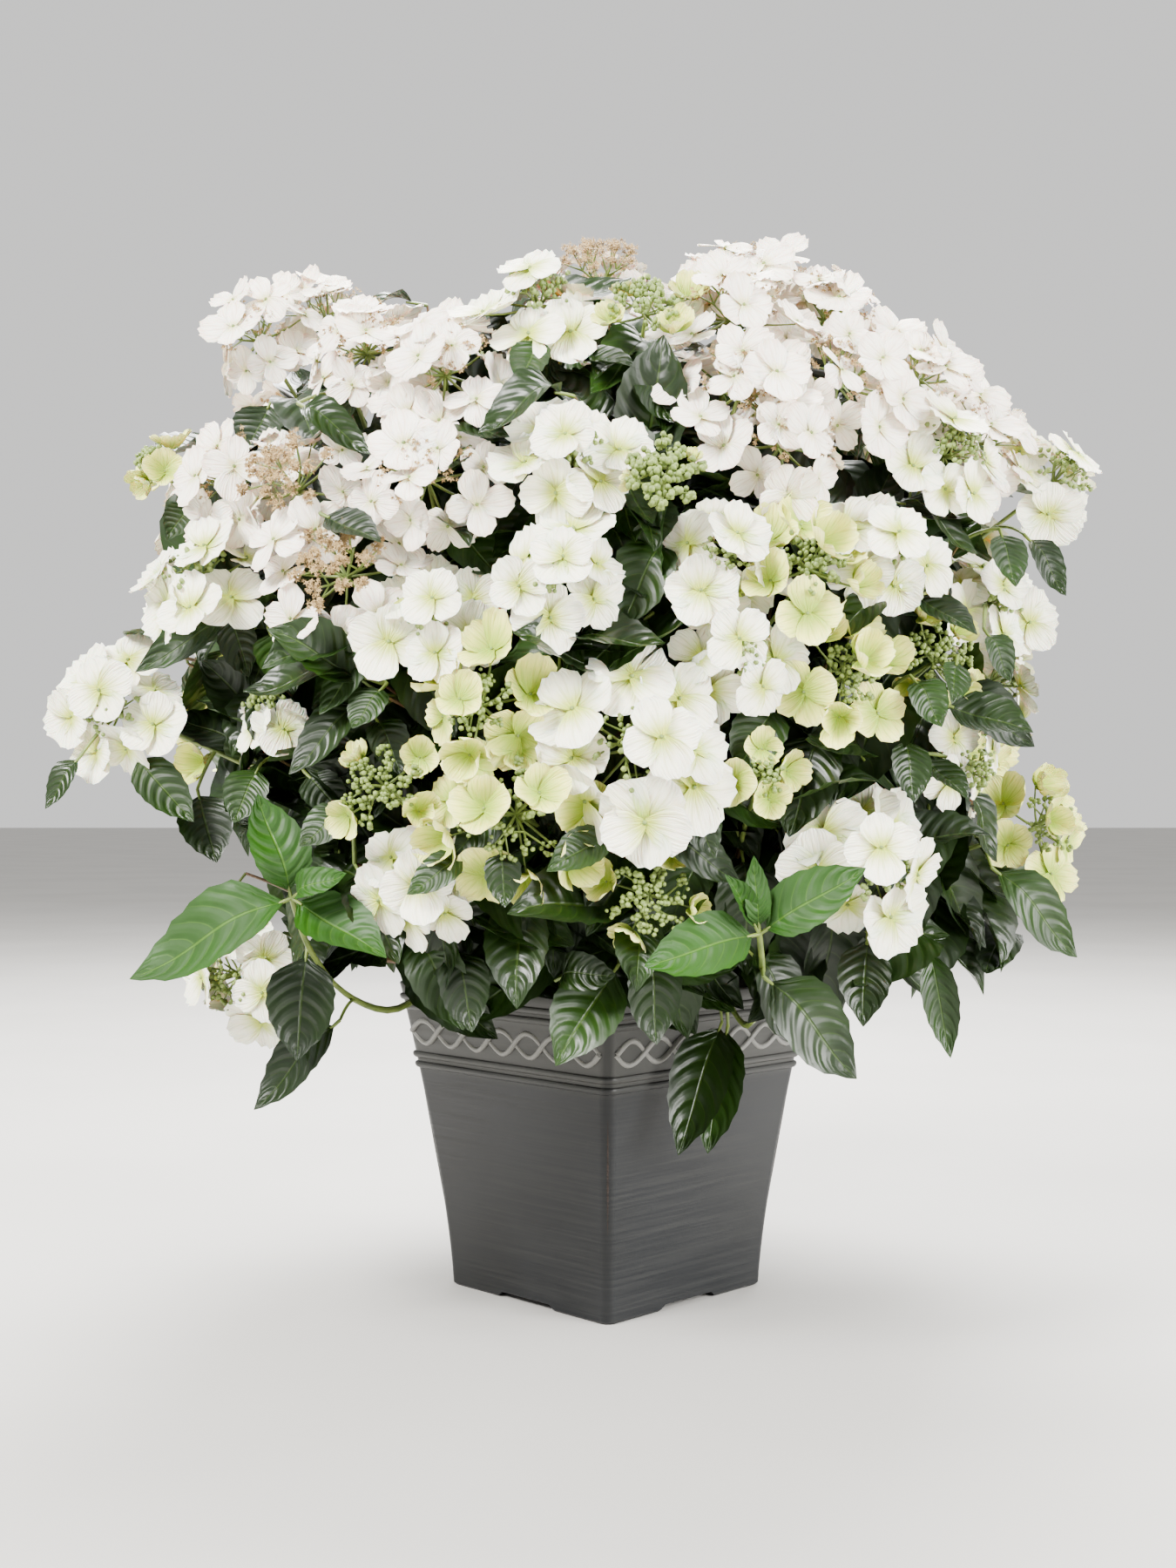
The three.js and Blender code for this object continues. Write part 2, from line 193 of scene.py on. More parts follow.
def ramp(tree, value, low, high, start=0.0, end=1.0):
    made = node(tree, "ShaderNodeMapRange", interpolation_type="SMOOTHSTEP")
    link(value, made.inputs["Value"])
    for key, number in zip(("From Min", "From Max", "To Min", "To Max"), (low, high, start, end)):
        made.inputs[key].default_value = number
    return made.outputs[0]


def blendColours(tree, share, first, second):
    made = node(tree, "ShaderNodeMix", data_type="RGBA")
    for socket, value in ((made.inputs[0], share), (made.inputs[6], first), (made.inputs[7], second)):
        if isinstance(value, (int, float, list)):
            socket.default_value = value
        else:
            link(value, socket)
    return made.outputs[2]


def newGroup(name, given, second):
    group = bpy.data.node_groups.new(name, "ShaderNodeTree")
    for title, value in given.items():
        kind = "NodeSocketFloat" if isinstance(value, float) else "NodeSocketColor"
        socket = group.interface.new_socket(title, in_out="INPUT", socket_type=kind)
        socket.default_value = value
    group.interface.new_socket("Colour", in_out="OUTPUT", socket_type="NodeSocketColor")
    group.interface.new_socket(second, in_out="OUTPUT", socket_type="NodeSocketFloat")
    return group, group.nodes.new("NodeGroupInput").outputs, group.nodes.new("NodeGroupOutput").inputs


def addNoise(tree, vector, detail, roughness=0.5):
    made = node(tree, "ShaderNodeTexNoise")
    for key, value in (("Scale", 1.0), ("Detail", detail), ("Roughness", roughness)):
        made.inputs[key].default_value = value
    link(vector, made.inputs["Vector"])
    return made


def uvParts(tree):
    place = node(tree, "ShaderNodeUVMap", uv_map="UVMap")
    parts = node(tree, "ShaderNodeSeparateXYZ")
    link(place.outputs[0], parts.inputs[0])
    return parts.outputs[0], parts.outputs[1]


plainGrey = (0.5, 0.5, 0.5, 1)
mottleLook = {"detail": 3, "edge": (0.38, 0.64)}


def mottleGroup():
    group, given, put = newGroup(
        "mottle", {"Base": plainGrey, "Blotch": plainGrey, "Size": 40.0, "Amount": 0.6}, "Mask")
    cloud = addNoise(group, node(group, "ShaderNodeTexCoord").outputs["Object"], mottleLook["detail"])
    link(given["Size"], cloud.inputs["Scale"])
    mask = ramp(group, cloud.outputs[0], *mottleLook["edge"])
    share = math2(group, "MULTIPLY", mask, given["Amount"])
    link(blendColours(group, share, given["Base"], given["Blotch"]), put["Colour"])
    link(mask, put["Mask"])
    return group


veinLook = {"bend": 1.6, "slant": 0.26, "line": (0.9, 0.99), "midrib": (0.015, 0.06), "sideShare": 0.55,
            "fade": (0.55, 1.0, 1.0, 0.25), "quilt": (0.2, 1.0, 1.0, 0.0), "groove": 0.8}


def veinGroup():
    group, given, put = newGroup(
        "leafVeins", {"Blade": plainGrey, "Vein": plainGrey, "Pairs": 7.0, "Strength": 0.5}, "Height")

    def calc(operation, a, b=0.0):
        return math2(group, operation, a, b)

    along, across = uvParts(group)
    side = calc("MULTIPLY", calc("ABSOLUTE", calc("SUBTRACT", across, 0.5)), 2.0)
    slant = calc("MULTIPLY", calc("POWER", side, veinLook["bend"]), veinLook["slant"])
    wave = calc("FRACT", calc("MULTIPLY", calc("SUBTRACT", along, slant), given["Pairs"]))
    fold = calc("MULTIPLY", calc("ABSOLUTE", calc("SUBTRACT", wave, 0.5)), 2.0)
    sideVein = ramp(group, fold, *veinLook["line"])
    midrib = ramp(group, side, *veinLook["midrib"], 1.0, 0.0)
    fading = ramp(group, side, *veinLook["fade"])
    sideVein = calc("MULTIPLY", calc("MULTIPLY", sideVein, fading), veinLook["sideShare"])
    share = calc("MULTIPLY", calc("MAXIMUM", midrib, sideVein), given["Strength"])
    link(blendColours(group, share, given["Blade"], given["Vein"]), put["Colour"])
    quilt = calc("MULTIPLY", ramp(group, fold, *veinLook["quilt"]), fading)
    link(calc("SUBTRACT", quilt, calc("MULTIPLY", midrib, veinLook["groove"])), put["Height"])
    return group


rayLook = {"along": 1.3, "across": 16.0, "detail": 2, "heart": (0.0, 0.9), "edge": (0.55, 1.0),
           "line": (0.48, 0.66, 0.0, 0.45)}


def sepalGroup():
    group, given, put = newGroup("sepalRays", {
        "Heart": plainGrey, "Sepal": plainGrey, "Edge": plainGrey, "Line": plainGrey, "Reach": 0.4}, "Height")
    out, across = uvParts(group)
    stretch = node(group, "ShaderNodeCombineXYZ")
    link(math2(group, "MULTIPLY", out, rayLook["along"]), stretch.inputs[0])
    link(math2(group, "MULTIPLY", across, rayLook["across"]), stretch.inputs[1])
    rays = addNoise(group, stretch.outputs[0], rayLook["detail"]).outputs[0]
    reach = math2(group, "MULTIPLY", given["Reach"], math2(group, "ADD", rays, 0.5))
    heart = math2(group, "SUBTRACT", 1.0, math2(group, "DIVIDE", out, reach))
    edgeShare = math2(group, "MULTIPLY", ramp(group, out, *rayLook["edge"]), rays)
    body = blendColours(group, edgeShare, given["Sepal"], given["Edge"])
    body = blendColours(group, ramp(group, rays, *rayLook["line"]), body, given["Line"])
    heartShare = ramp(group, heart, *rayLook["heart"])
    link(blendColours(group, heartShare, body, given["Heart"]), put["Colour"])
    link(rays, put["Height"])
    return group


mottle, leafVeins, sepalRays = mottleGroup(), veinGroup(), sepalGroup()


def startMaterial(name, **values):
    material = bpy.data.materials.new(name)
    material.use_nodes = True
    tree = material.node_tree
    shader = tree.nodes["Principled BSDF"]
    for key, value in values.items():
        shader.inputs[key.replace("_", " ")].default_value = value
    return material, tree, shader


def useGroup(tree, group, **values):
    made = node(tree, "ShaderNodeGroup", node_tree=group)
    for key, value in values.items():
        made.inputs[key].default_value = value
    return made


def giveSurface(tree, shader, colour, height, strength, distance):
    link(colour, shader.inputs["Base Color"])
    bump = node(tree, "ShaderNodeBump")
    bump.inputs["Strength"].default_value = strength
    bump.inputs["Distance"].default_value = distance
    link(height, bump.inputs["Height"])
    link(bump.outputs[0], shader.inputs["Normal"])


leafLook = {"shine": 0.32, "glow": 0.03, "glowDepth": 0.003, "blotch": 28.0, "blotchShare": 0.8, "pairs": 7.0,
            "veins": 0.42, "dullest": 0.16, "relief": (0.5, 0.0014)}


def leafMaterial(name, blade, blotch, vein, under, gloss):
    material, tree, shader = startMaterial(
        name, Roughness=gloss, Specular_IOR_Level=leafLook["shine"], Subsurface_Weight=leafLook["glow"],
        Subsurface_Scale=leafLook["glowDepth"])
    blades = useGroup(tree, mottle, Base=tone(blade), Blotch=tone(blotch), Size=leafLook["blotch"],
                      Amount=leafLook["blotchShare"])
    veins = useGroup(tree, leafVeins, Vein=tone(vein), Pairs=leafLook["pairs"], Strength=leafLook["veins"])
    link(blades.outputs["Colour"], veins.inputs["Blade"])
    back = node(tree, "ShaderNodeNewGeometry")
    colour = blendColours(tree, back.outputs["Backfacing"], veins.outputs["Colour"], tone(under))
    roughness = ramp(tree, blades.outputs["Mask"], 0.0, 1.0, gloss, gloss + leafLook["dullest"])
    link(roughness, shader.inputs["Roughness"])
    giveSurface(tree, shader, colour, veins.outputs["Height"], *leafLook["relief"])
    return material


petalLook = {"rough": 0.6, "glow": 0.25, "glowDepth": 0.005, "down": 0.08, "relief": (0.8, 0.0026)}


def petalMaterial(name, heart, sepal, edge, line, reach):
    material, tree, shader = startMaterial(
        name, Roughness=petalLook["rough"], Subsurface_Weight=petalLook["glow"],
        Subsurface_Scale=petalLook["glowDepth"], Sheen_Weight=petalLook["down"])
    rays = useGroup(
        tree, sepalRays, Heart=tone(heart), Sepal=tone(sepal), Edge=tone(edge), Line=tone(line), Reach=reach)
    giveSurface(tree, shader, rays.outputs["Colour"], rays.outputs["Height"], *petalLook["relief"])
    return material


plainLook = {"blotchShare": 0.85, "relief": 0.6}


def plainMaterial(name, base, blotch, size, rough, depth=0.0004):
    material, tree, shader = startMaterial(name, Roughness=rough)
    body = useGroup(tree, mottle, Base=tone(base), Blotch=tone(blotch), Size=size,
                    Amount=plainLook["blotchShare"])
    giveSurface(tree, shader, body.outputs["Colour"], body.outputs["Mask"], plainLook["relief"], depth)
    return material


planterLook = {"shine": 0.27, "grainScale": (9, 9, 420), "grainNoise": (5, 0.65),
               "blotch": 7.0, "blotchShare": 0.5, "toneAndLightByHeight": (0.0, 0.2, 0.0, 0.7),
               "band": (0.156, 0.17, 0.0, 0.72), "grain": (0.36, 0.74, 0.0, 0.27), "cornerTone": "0d0e0f",
               "corner": (0.0015, 0.005, 0.55, 0.0), "gloss": (-0.06, 0.1), "glossGrain": (0.3, 0.7),
               "relief": (0.18, 0.0005)}


def planterMaterial(name, dark, pale, streak, rough):
    material, tree, shader = startMaterial(name, Roughness=rough, Specular_IOR_Level=planterLook["shine"])
    place = node(tree, "ShaderNodeTexCoord")
    squash = node(tree, "ShaderNodeMapping")
    squash.inputs["Scale"].default_value = planterLook["grainScale"]
    link(place.outputs["Object"], squash.inputs["Vector"])
    grain = addNoise(tree, squash.outputs[0], *planterLook["grainNoise"]).outputs[0]
    parts = node(tree, "ShaderNodeSeparateXYZ")
    link(place.outputs["Object"], parts.inputs[0])
    x, y, z = parts.outputs[0], parts.outputs[1], parts.outputs[2]
    body = useGroup(tree, mottle, Base=tone(dark), Blotch=tone(pale), Size=planterLook["blotch"],
                    Amount=planterLook["blotchShare"])
    corner = math2(tree, "MINIMUM", math2(tree, "ABSOLUTE", x), math2(tree, "ABSOLUTE", y))
    colour = body.outputs["Colour"]
    # Lighter towards the top and across the band, darker towards the base: partly the planter's own tone,
    # partly painted light from above and painted shade low down.
    for value, edge, blended in ((z, "toneAndLightByHeight", pale), (z, "band", streak), (grain, "grain", streak),
                                 (corner, "corner", planterLook["cornerTone"])):
        colour = blendColours(tree, ramp(tree, value, *planterLook[edge]), colour, tone(blended))
    smoother, rougher = planterLook["gloss"]
    roughness = ramp(tree, grain, *planterLook["glossGrain"], rough + smoother, rough + rougher)
    link(roughness, shader.inputs["Roughness"])
    giveSurface(tree, shader, colour, grain, *planterLook["relief"])
    return material


lookTable = {
    leafMaterial: {
        "leafDark": ("152607", "0e1b06", "3c521b", "2e431a", 0.3),
        "leafMid": ("1b3208", "142606", "465f21", "354d1c", 0.37),
        "leafYoung": ("1c4300", "173700", "4f751c", "375c12", 0.52)},
    petalMaterial: {
        "petalWhite": ("b9c742", "fffbe2", "fffcee", "dddbb4", 0.52),
        "petalFaded": ("e2dca4", "fff5e6", "f8dcc6", "e4c8ae", 0.3),
        "petalLime": ("98b222", "f0ee84", "fcf8bc", "ced666", 0.82)},
    plainMaterial: {
        "budGreen": ("7c8e46", "5f7236", 300.0, 0.5),
        "budBeige": ("ab8f5f", "7f653c", 260.0, 0.75),
        "twigGreen": ("6f8036", "56692c", 90.0, 0.5),
        "twigRed": ("573a22", "625428", 70.0, 0.6),
        "bark": ("594836", "3b2e22", 120.0, 0.85, 0.0012),
        "soil": ("251a13", "160f0b", 160.0, 0.95, 0.0015),
        "soilCrumb": ("3a281b", "20160f", 220.0, 0.9)},
    planterMaterial: {
        "planterGrey": ("0c0e10", "1b1d20", "3d3d3a", 0.42),
        # Lighter material for the guilloche strands: partly rubbed wear, partly a painted highlight on the
        # raised ropes.
        "planterWearAndHighlight": ("65686a", "808385", "74726b", 0.36)},
}
looks = {name: make(name, *values) for make, rows in lookTable.items() for name, values in rows.items()}
print("materials made")


# Planter

planterShape = {
    "baseWidth": 0.165, "rimWidth": 0.224, "height": 0.226, "flare": 1.35,
    "corner": 0.007, "cornerCuts": 6, "wall": 0.004, "floor": 0.009,
    "beads": [0.164, 0.1715, 0.2075, 0.2146], "beadProud": 0.0019, "beadHalf": 0.0026,
    "plainStep": 0.013, "footEdge": 0.0016, "rimRound": 0.0016,
    "notchWidth": 0.05, "notchHeight": 0.0042, "notchDepth": 0.03, "notchSlope": 0.005,
    "beadSteps": (-1.0, -0.75, -0.35, 0.0, 0.35, 0.75, 1.0), "bandSteps": (0.178, 0.184, 0.19, 0.196, 0.202),
    "innerSteps": (0.2, 0.16, 0.1), "rimOuter": 0.3, "rimInner": 0.6, "smoothBelow": 38, "weld": 1e-6,
}


def planterHalf(height):
    growth = (height / planterShape["height"]) ** planterShape["flare"]
    base, rim = planterShape["baseWidth"], planterShape["rimWidth"]
    return (base + (rim - base) * growth) / 2


def planterProfile():
    shape = planterShape
    levels = [(shape["footEdge"], planterHalf(0))]
    height = shape["plainStep"]
    while height < shape["beads"][0] - shape["beadHalf"] * 2:
        levels.append((height, planterHalf(height)))
        height += shape["plainStep"]
    for bead in shape["beads"]:
        for share in shape["beadSteps"]:
            at = bead + share * shape["beadHalf"]
            levels.append((at, planterHalf(at) + shape["beadProud"] * math.sqrt(1 - share * share)))
        if bead == shape["beads"][1]:
            levels += [(at, planterHalf(at)) for at in shape["bandSteps"]]
    rim, top = shape["rimRound"], shape["height"]
    outer, inner = planterHalf(top), planterHalf(top) - shape["wall"]
    shoulder = rim * shape["rimOuter"]
    levels += [(top - rim, outer), (top - shoulder, outer - shoulder), (top, outer - rim),
               (top, inner + rim * shape["rimInner"]), (top - rim, inner)]
    levels += [(at, planterHalf(at) - shape["wall"]) for at in (*shape["innerSteps"], shape["floor"])]
    return levels


def makePlanter():
    shape = planterShape
    dropSelection()
    foot = shape["baseWidth"] - 2 * shape["footEdge"]
    bpy.ops.mesh.primitive_plane_add(size=foot, rotation=(0, 0, math.pi / 4))
    planter = takeNew("planter_body")
    editAll()
    bpy.ops.mesh.bevel(offset=shape["corner"], segments=shape["cornerCuts"], affect="VERTICES")
    bpy.ops.mesh.select_all(action="SELECT")
    extrudeTo(0.0, foot / 2, planterProfile())
    bpy.ops.mesh.select_all(action="SELECT")
    bpy.ops.mesh.remove_doubles(threshold=shape["weld"])
    closeShell()
    for side in range(4):
        cutNotch(planter, math.pi / 4 + side * math.pi / 2)
    hold(planter)
    bpy.ops.object.shade_smooth_by_angle(angle=math.radians(shape["smoothBelow"]))
    register(planter, "planterGrey", "planter", "planter")


def cutNotch(planter, turn):
    shape = planterShape
    dropSelection()
    bpy.ops.mesh.primitive_cube_add(size=1)
    cutter = bpy.context.object
    cutter.scale = (shape["notchWidth"], shape["notchDepth"] * 2, shape["notchHeight"] * 2)
    settle(cutter)
    choose(cutter, lambda at: at.z < 0)
    flare = 1 + 4 * shape["notchSlope"] / shape["notchWidth"]
    resize((flare, 1, 1), (0, 0, 0))
    leaveEdit()
    reach = shape["baseWidth"] / 2
    cutter.rotation_euler = (0, 0, turn)
    cutter.location = (math.sin(turn) * reach, -math.cos(turn) * reach, 0)
    settle(cutter)
    cut = planter.modifiers.new("notch", "BOOLEAN")
    cut.operation = "DIFFERENCE"
    cut.object = cutter
    applyAll(planter)
    bpy.data.objects.remove(cutter)


guilloche = {
    "middle": 0.1893, "rise": 0.0084, "pitch": 0.028, "loops": 7, "radius": 0.00205,
    "sunk": 0.0003, "weave": 0.0009, "pointsEach": 13, "roundness": 2,
}


def makeGuilloche():
    runs = []
    count = guilloche["loops"] * guilloche["pointsEach"]
    for side in range(4):
        turn = math.pi / 4 + side * math.pi / 2
        out, across = vec(math.sin(turn), -math.cos(turn), 0), vec(math.cos(turn), math.sin(turn), 0)
        for strand in (1, -1):
            points = []
            for step in range(count + 1):
                at = (step / count - 0.5) * guilloche["loops"] * guilloche["pitch"]
                swing = math.pi * (step / guilloche["pointsEach"])
                height = guilloche["middle"] + strand * guilloche["rise"] * math.sin(swing)
                lift = strand * guilloche["weave"] * math.cos(swing) - guilloche["sunk"]
                points.append(out * (planterHalf(height) + lift) + across * at + vec(0, 0, height))
            runs.append((points, [guilloche["radius"]] * len(points)))
    # The strands take the lighter material: rubbed wear plus a painted highlight.
    register(makeStems("planter_guilloche", runs, guilloche["roundness"]), "planterWearAndHighlight", "planter")


def makeStems(name, runs, roundness):
    dropSelection()
    curve = bpy.data.curves.new(name, "CURVE")
    curve.dimensions = "3D"
    curve.bevel_depth = 1.0
    curve.bevel_resolution = roundness
    curve.use_fill_caps = True
    for points, radii in runs:
        spline = curve.splines.new("POLY")
        spline.points.add(len(points) - 1)
        rows = np.ones((len(points), 4))
        rows[:, :3] = points
        spline.points.foreach_set("co", rows.ravel())
        spline.points.foreach_set("radius", np.asarray(radii, float))
    stems = bpy.data.objects.new(name, curve)
    bpy.context.collection.objects.link(stems)
    hold(stems)
    bpy.ops.object.convert(target="MESH")
    stems = bpy.context.object
    stems.name = name
    bpy.ops.object.shade_smooth()
    return stems


makePlanter()
makeGuilloche()
print("planter made")


# Soil

soilShape = {"top": 0.204, "crown": 0.003, "gap": 0.0003, "floor": 0.0093, "cuts": 24, "inner": 0.93,
             "lump": 0.004, "lumpSize": 0.02, "lumpMiddle": 0.4, "crumbs": 420, "crumbSize": (0.0012, 0.0042),
             "crumbGap": 0.004, "crumbLift": 0.0035, "crumbForm": (1.4, 1, 0.7), "crumbTilt": 0.1, "seed": 5}


def soilHalf(height):
    return planterHalf(height) - planterShape["wall"] - soilShape["gap"]


def makeSoil():
    dropSelection()
    top, floor = soilShape["top"], soilShape["floor"]
    bpy.ops.mesh.primitive_grid_add(
        x_subdivisions=soilShape["cuts"], y_subdivisions=soilShape["cuts"], size=2 * soilHalf(top),
        location=(0, 0, top), rotation=(0, 0, math.pi / 4))
    soil = takeNew("potting_soil_bed")
    reach = soilHalf(top) * soilShape["inner"]

    def awayFromWall(at):
        return max(abs(at.x + at.y), abs(at.x - at.y)) / math.sqrt(2) < reach

    choose(soil, awayFromWall)
    shift(0, 0, soilShape["crown"])
    leaveEdit()
    inside = soil.vertex_groups.new(name="inside")
    inside.add([corner.index for corner in soil.data.vertices if awayFromWall(corner.co)], 1.0, "ADD")
    lumps = addLumps(soil, soilShape["lumpSize"], soilShape["lump"])
    lumps.direction = "Z"
    lumps.mid_level = soilShape["lumpMiddle"]
    lumps.vertex_group = "inside"
    applyAll(soil)
    editAll()
    bpy.ops.mesh.select_mode(type="EDGE")
    bpy.ops.mesh.region_to_loop()
    extrudeTo(top, soilHalf(top), [(floor, soilHalf(floor))])
    bpy.ops.mesh.edge_face_add()
    closeShell()
    soil.vertex_groups.clear()
    bpy.ops.object.shade_smooth()
    register(soil, "soil", "soil", "potting_soil")


# Small shapes that repeat

leafForms = [
    {"droop": 0.16, "fold": 0.13, "twist": 0.10, "curl": 0.05},
    {"droop": 0.26, "fold": 0.09, "twist": -0.18, "curl": 0.08},
    {"droop": 0.08, "fold": 0.18, "twist": 0.22, "curl": -0.04},
    {"droop": 0.34, "fold": 0.15, "twist": -0.06, "curl": 0.10},
]
leafOutline = {
    "along": [0, 0.05, 0.12, 0.22, 0.34, 0.45, 0.56, 0.67, 0.77, 0.86, 0.93, 1],
    "width": [0.05, 0.3, 0.62, 0.88, 0.99, 1.0, 0.95, 0.83, 0.64, 0.4, 0.19, 0.01],
    "rows": 14, "columns": 4, "foldPower": 1.4, "sway": 0.25, "margin": 0.42,
    "tooth": 0.026, "toothLean": 0.01, "ripple": 0.011, "rippleTurn": 2.2,
}
sameLine = 1e-4


def makeGrid(name, rows, columns):
    dropSelection()
    bpy.ops.mesh.primitive_grid_add(x_subdivisions=rows, y_subdivisions=columns, size=1, location=(0.5, 0, 0))
    return takeNew(name)


def makeLeaf(index, form):
    shape = leafOutline
    leaf = makeGrid(f"leafShape{index}", shape["rows"], shape["columns"])
    for across in linesOf(leaf, 1):
        choose(leaf, lambda at: abs(at.y - across) < sameLine)
        shift(0, 0, form["fold"] * (2 * abs(across)) ** shape["foldPower"])
    for step, along in enumerate(linesOf(leaf, 0)):
        choose(leaf, lambda at: abs(at.x - along) < sameLine)
        width = float(np.interp(along, shape["along"], shape["width"]))
        resize((1, width, width), (along, 0, 0))
        bpy.ops.transform.rotate(value=form["twist"] * along, orient_axis="X", center_override=(along, 0, 0))
        sway = form["twist"] * shape["sway"] * along ** 2
        shift(0, sway, -form["droop"] * along ** 2 + form["curl"] * math.sin(2 * math.pi * along))
        if 0 < step < shape["rows"]:
            edge = width * shape["margin"]
            choose(leaf, lambda at: abs(at.x - along) < sameLine and abs(at.y - sway) > edge)
            resize((1, 1 + shape["tooth"] * (1 if step % 2 else -1), 1), (along, 0, 0))
            wave = math.sin(step * shape["rippleTurn"] + index)
            shift(shape["toothLean"] * (step % 2), 0, shape["ripple"] * wave)
    leaveEdit()
    return leaf


sepalForm = {
    "out": [0, 0.3, 0.62, 0.86, 1], "width": [0.2, 0.75, 1.05, 1.03, 0.76],
    "round": 0.14, "ruffle": 0.035, "scallop": 0.022, "columns": 6,
}


def makeSepal(name, cup, roll, crease, wide):
    shape = sepalForm
    sepal = makeGrid(name, len(shape["out"]) - 1, shape["columns"])
    columns, outs = linesOf(sepal, 1), linesOf(sepal, 0)
    for order, across in enumerate(columns):
        side = 2 * abs(across)
        for step, out in enumerate(outs):
            choose(sepal, lambda at: abs(at.y - across) < sameLine and abs(at.x - out) < sameLine)
            share = shape["out"][step]
            ruffle = (1 if order % 2 else -1) * share ** 2
            x = share - shape["round"] * side ** 2 * share + shape["scallop"] * ruffle - out
            z = cup * share ** 2 + roll * side ** 2 * share + crease * (1 - side) * share * (1 - share)
            shift(x, across * (shape["width"][step] * wide - 1), z + shape["ruffle"] * ruffle)
    leaveEdit()
    return sepal


# No head has crumpled florets: the form stays because its random draws come before those of ruffled.
floretForms = {
    "open": {"cup": 0.03, "roll": 0.05, "crease": -0.1, "tilt": -0.08, "jitter": 0.22},
    "broad": {"cup": -0.07, "roll": 0.07, "crease": -0.12, "tilt": -0.02, "jitter": 0.26},
    "full": {"sepals": 5, "cup": 0.06, "roll": 0.04, "crease": -0.08, "tilt": -0.14, "jitter": 0.24},
    "cupped": {"cup": 0.26, "roll": 0.16, "crease": -0.03, "tilt": -0.3, "jitter": 0.2},
    "bowl": {"cup": 0.42, "roll": 0.22, "crease": 0.0, "tilt": -0.45, "jitter": 0.24},
    "starry": {"cup": 0.05, "roll": 0.04, "crease": -0.1, "tilt": -0.1, "jitter": 0.3, "wide": 0.85},
    "loose": {"cup": -0.1, "roll": 0.06, "crease": -0.08, "tilt": 0.02, "jitter": 0.42, "wide": 0.9},
    "crumpled": {"cup": -0.16, "roll": -0.12, "crease": 0.12, "tilt": 0.05, "jitter": 0.4},
    "ruffled": {"cup": 0.06, "roll": -0.08, "crease": 0.05, "tilt": -0.12, "jitter": 0.3},
}
floretRule = {"sepals": 4, "wide": 1, "layers": (-0.02, 0.05), "sizes": (-0.12, 0.06), "loose": 0.5}


def makeFloret(kind, form, rng):
    form = {**floretRule, **form}
    sepals = [makeSepal(f"floret_{kind}", form["cup"], form["roll"], form["crease"], form["wide"])]
    while len(sepals) < form["sepals"]:
        hold(sepals[0])
        bpy.ops.object.duplicate()
        sepals.append(bpy.context.object)
    for order, sepal in enumerate(sepals):
        turn = 2 * math.pi * order / form["sepals"]
        sepal.rotation_euler = (rng.uniform(-1, 1) * form["jitter"],
                                form["tilt"] + wobble(rng, form["loose"]) * form["jitter"],
                                turn + wobble(rng, form["loose"]) * form["jitter"])
        sepal.location = (0, 0, form["layers"][order % 2])
        sepal.scale = [1 + rng.uniform(*form["sizes"])] * 3
    return joinParts(sepals)


beadForm = {"waist": 0.3, "narrow": 0.82, "tall": 1.25}
starletForm = {"points": 5, "edge": 20, "middle": 0.5, "tip": 0.8, "hub": 0.45, "fall": 0.35,
               "spikeFoot": 0.12, "spikeLength": 1.3,
               "spikes": [((0.25, 0.1, 0.6), (0.2, 0.4, 0)), ((-0.25, -0.2, 0.55), (-0.4, -0.3, 1.2))]}


def makeBead():
    dropSelection()
    bpy.ops.mesh.primitive_ico_sphere_add(subdivisions=1, radius=1)
    bead = takeNew("beadShape")
    choose(bead, lambda at: at.z > beadForm["waist"])
    resize((beadForm["narrow"], beadForm["narrow"], beadForm["tall"]), (0, 0, beadForm["waist"]))
    leaveEdit()
    return bead


def makeStarlet():
    shape = starletForm
    dropSelection()
    bpy.ops.mesh.primitive_circle_add(vertices=2 * shape["points"], radius=1, fill_type="TRIFAN")
    starlet = takeNew("starletShape")
    apart = 360 // shape["points"]

    def betweenPoints(at):
        angle = round(math.degrees(math.atan2(at.y, at.x)))
        return at.length > shape["middle"] and angle % apart > shape["edge"]

    choose(starlet, betweenPoints)
    resize((shape["hub"], shape["hub"], 1), (0, 0, 0))
    choose(starlet, lambda at: at.length > shape["tip"])
    shift(0, 0, -shape["fall"])
    leaveEdit()
    bpy.ops.mesh.primitive_cone_add(vertices=3, radius1=shape["spikeFoot"], depth=shape["spikeLength"])
    spikes = [bpy.context.object]
    bpy.ops.object.duplicate()
    spikes.append(bpy.context.object)
    for spike, (place, turn) in zip(spikes, shape["spikes"]):
        spike.location, spike.rotation_euler = place, turn
    return joinParts([starlet, *spikes])


def readAll(items, key, width=1, kind=int):
    values = np.empty(len(items) * width, kind)
    items.foreach_get(key, values)
    return values


class Stencil:
    def __init__(self, piece):
        mesh = piece.data
        self.points = readAll(mesh.vertices, "co", 3, float).reshape(-1, 3)
        self.corners = readAll(mesh.loops, "vertex_index")
        self.sides = readAll(mesh.polygons, "loop_total")
        self.uv = np.zeros(len(mesh.loops) * 2)
        if mesh.uv_layers:
            self.uv = readAll(mesh.uv_layers[0].data, "uv", 2, float)
        bpy.data.objects.remove(piece)


formSeed = 3
formRandom = random.Random(formSeed)
leafStencils = [Stencil(makeLeaf(i, form)) for i, form in enumerate(leafForms)]
floretStencils = {kind: Stencil(makeFloret(kind, form, formRandom)) for kind, form in floretForms.items()}
beadStencil = Stencil(makeBead())
starletStencil = Stencil(makeStarlet())
print("leaf, floret and bud shapes made")


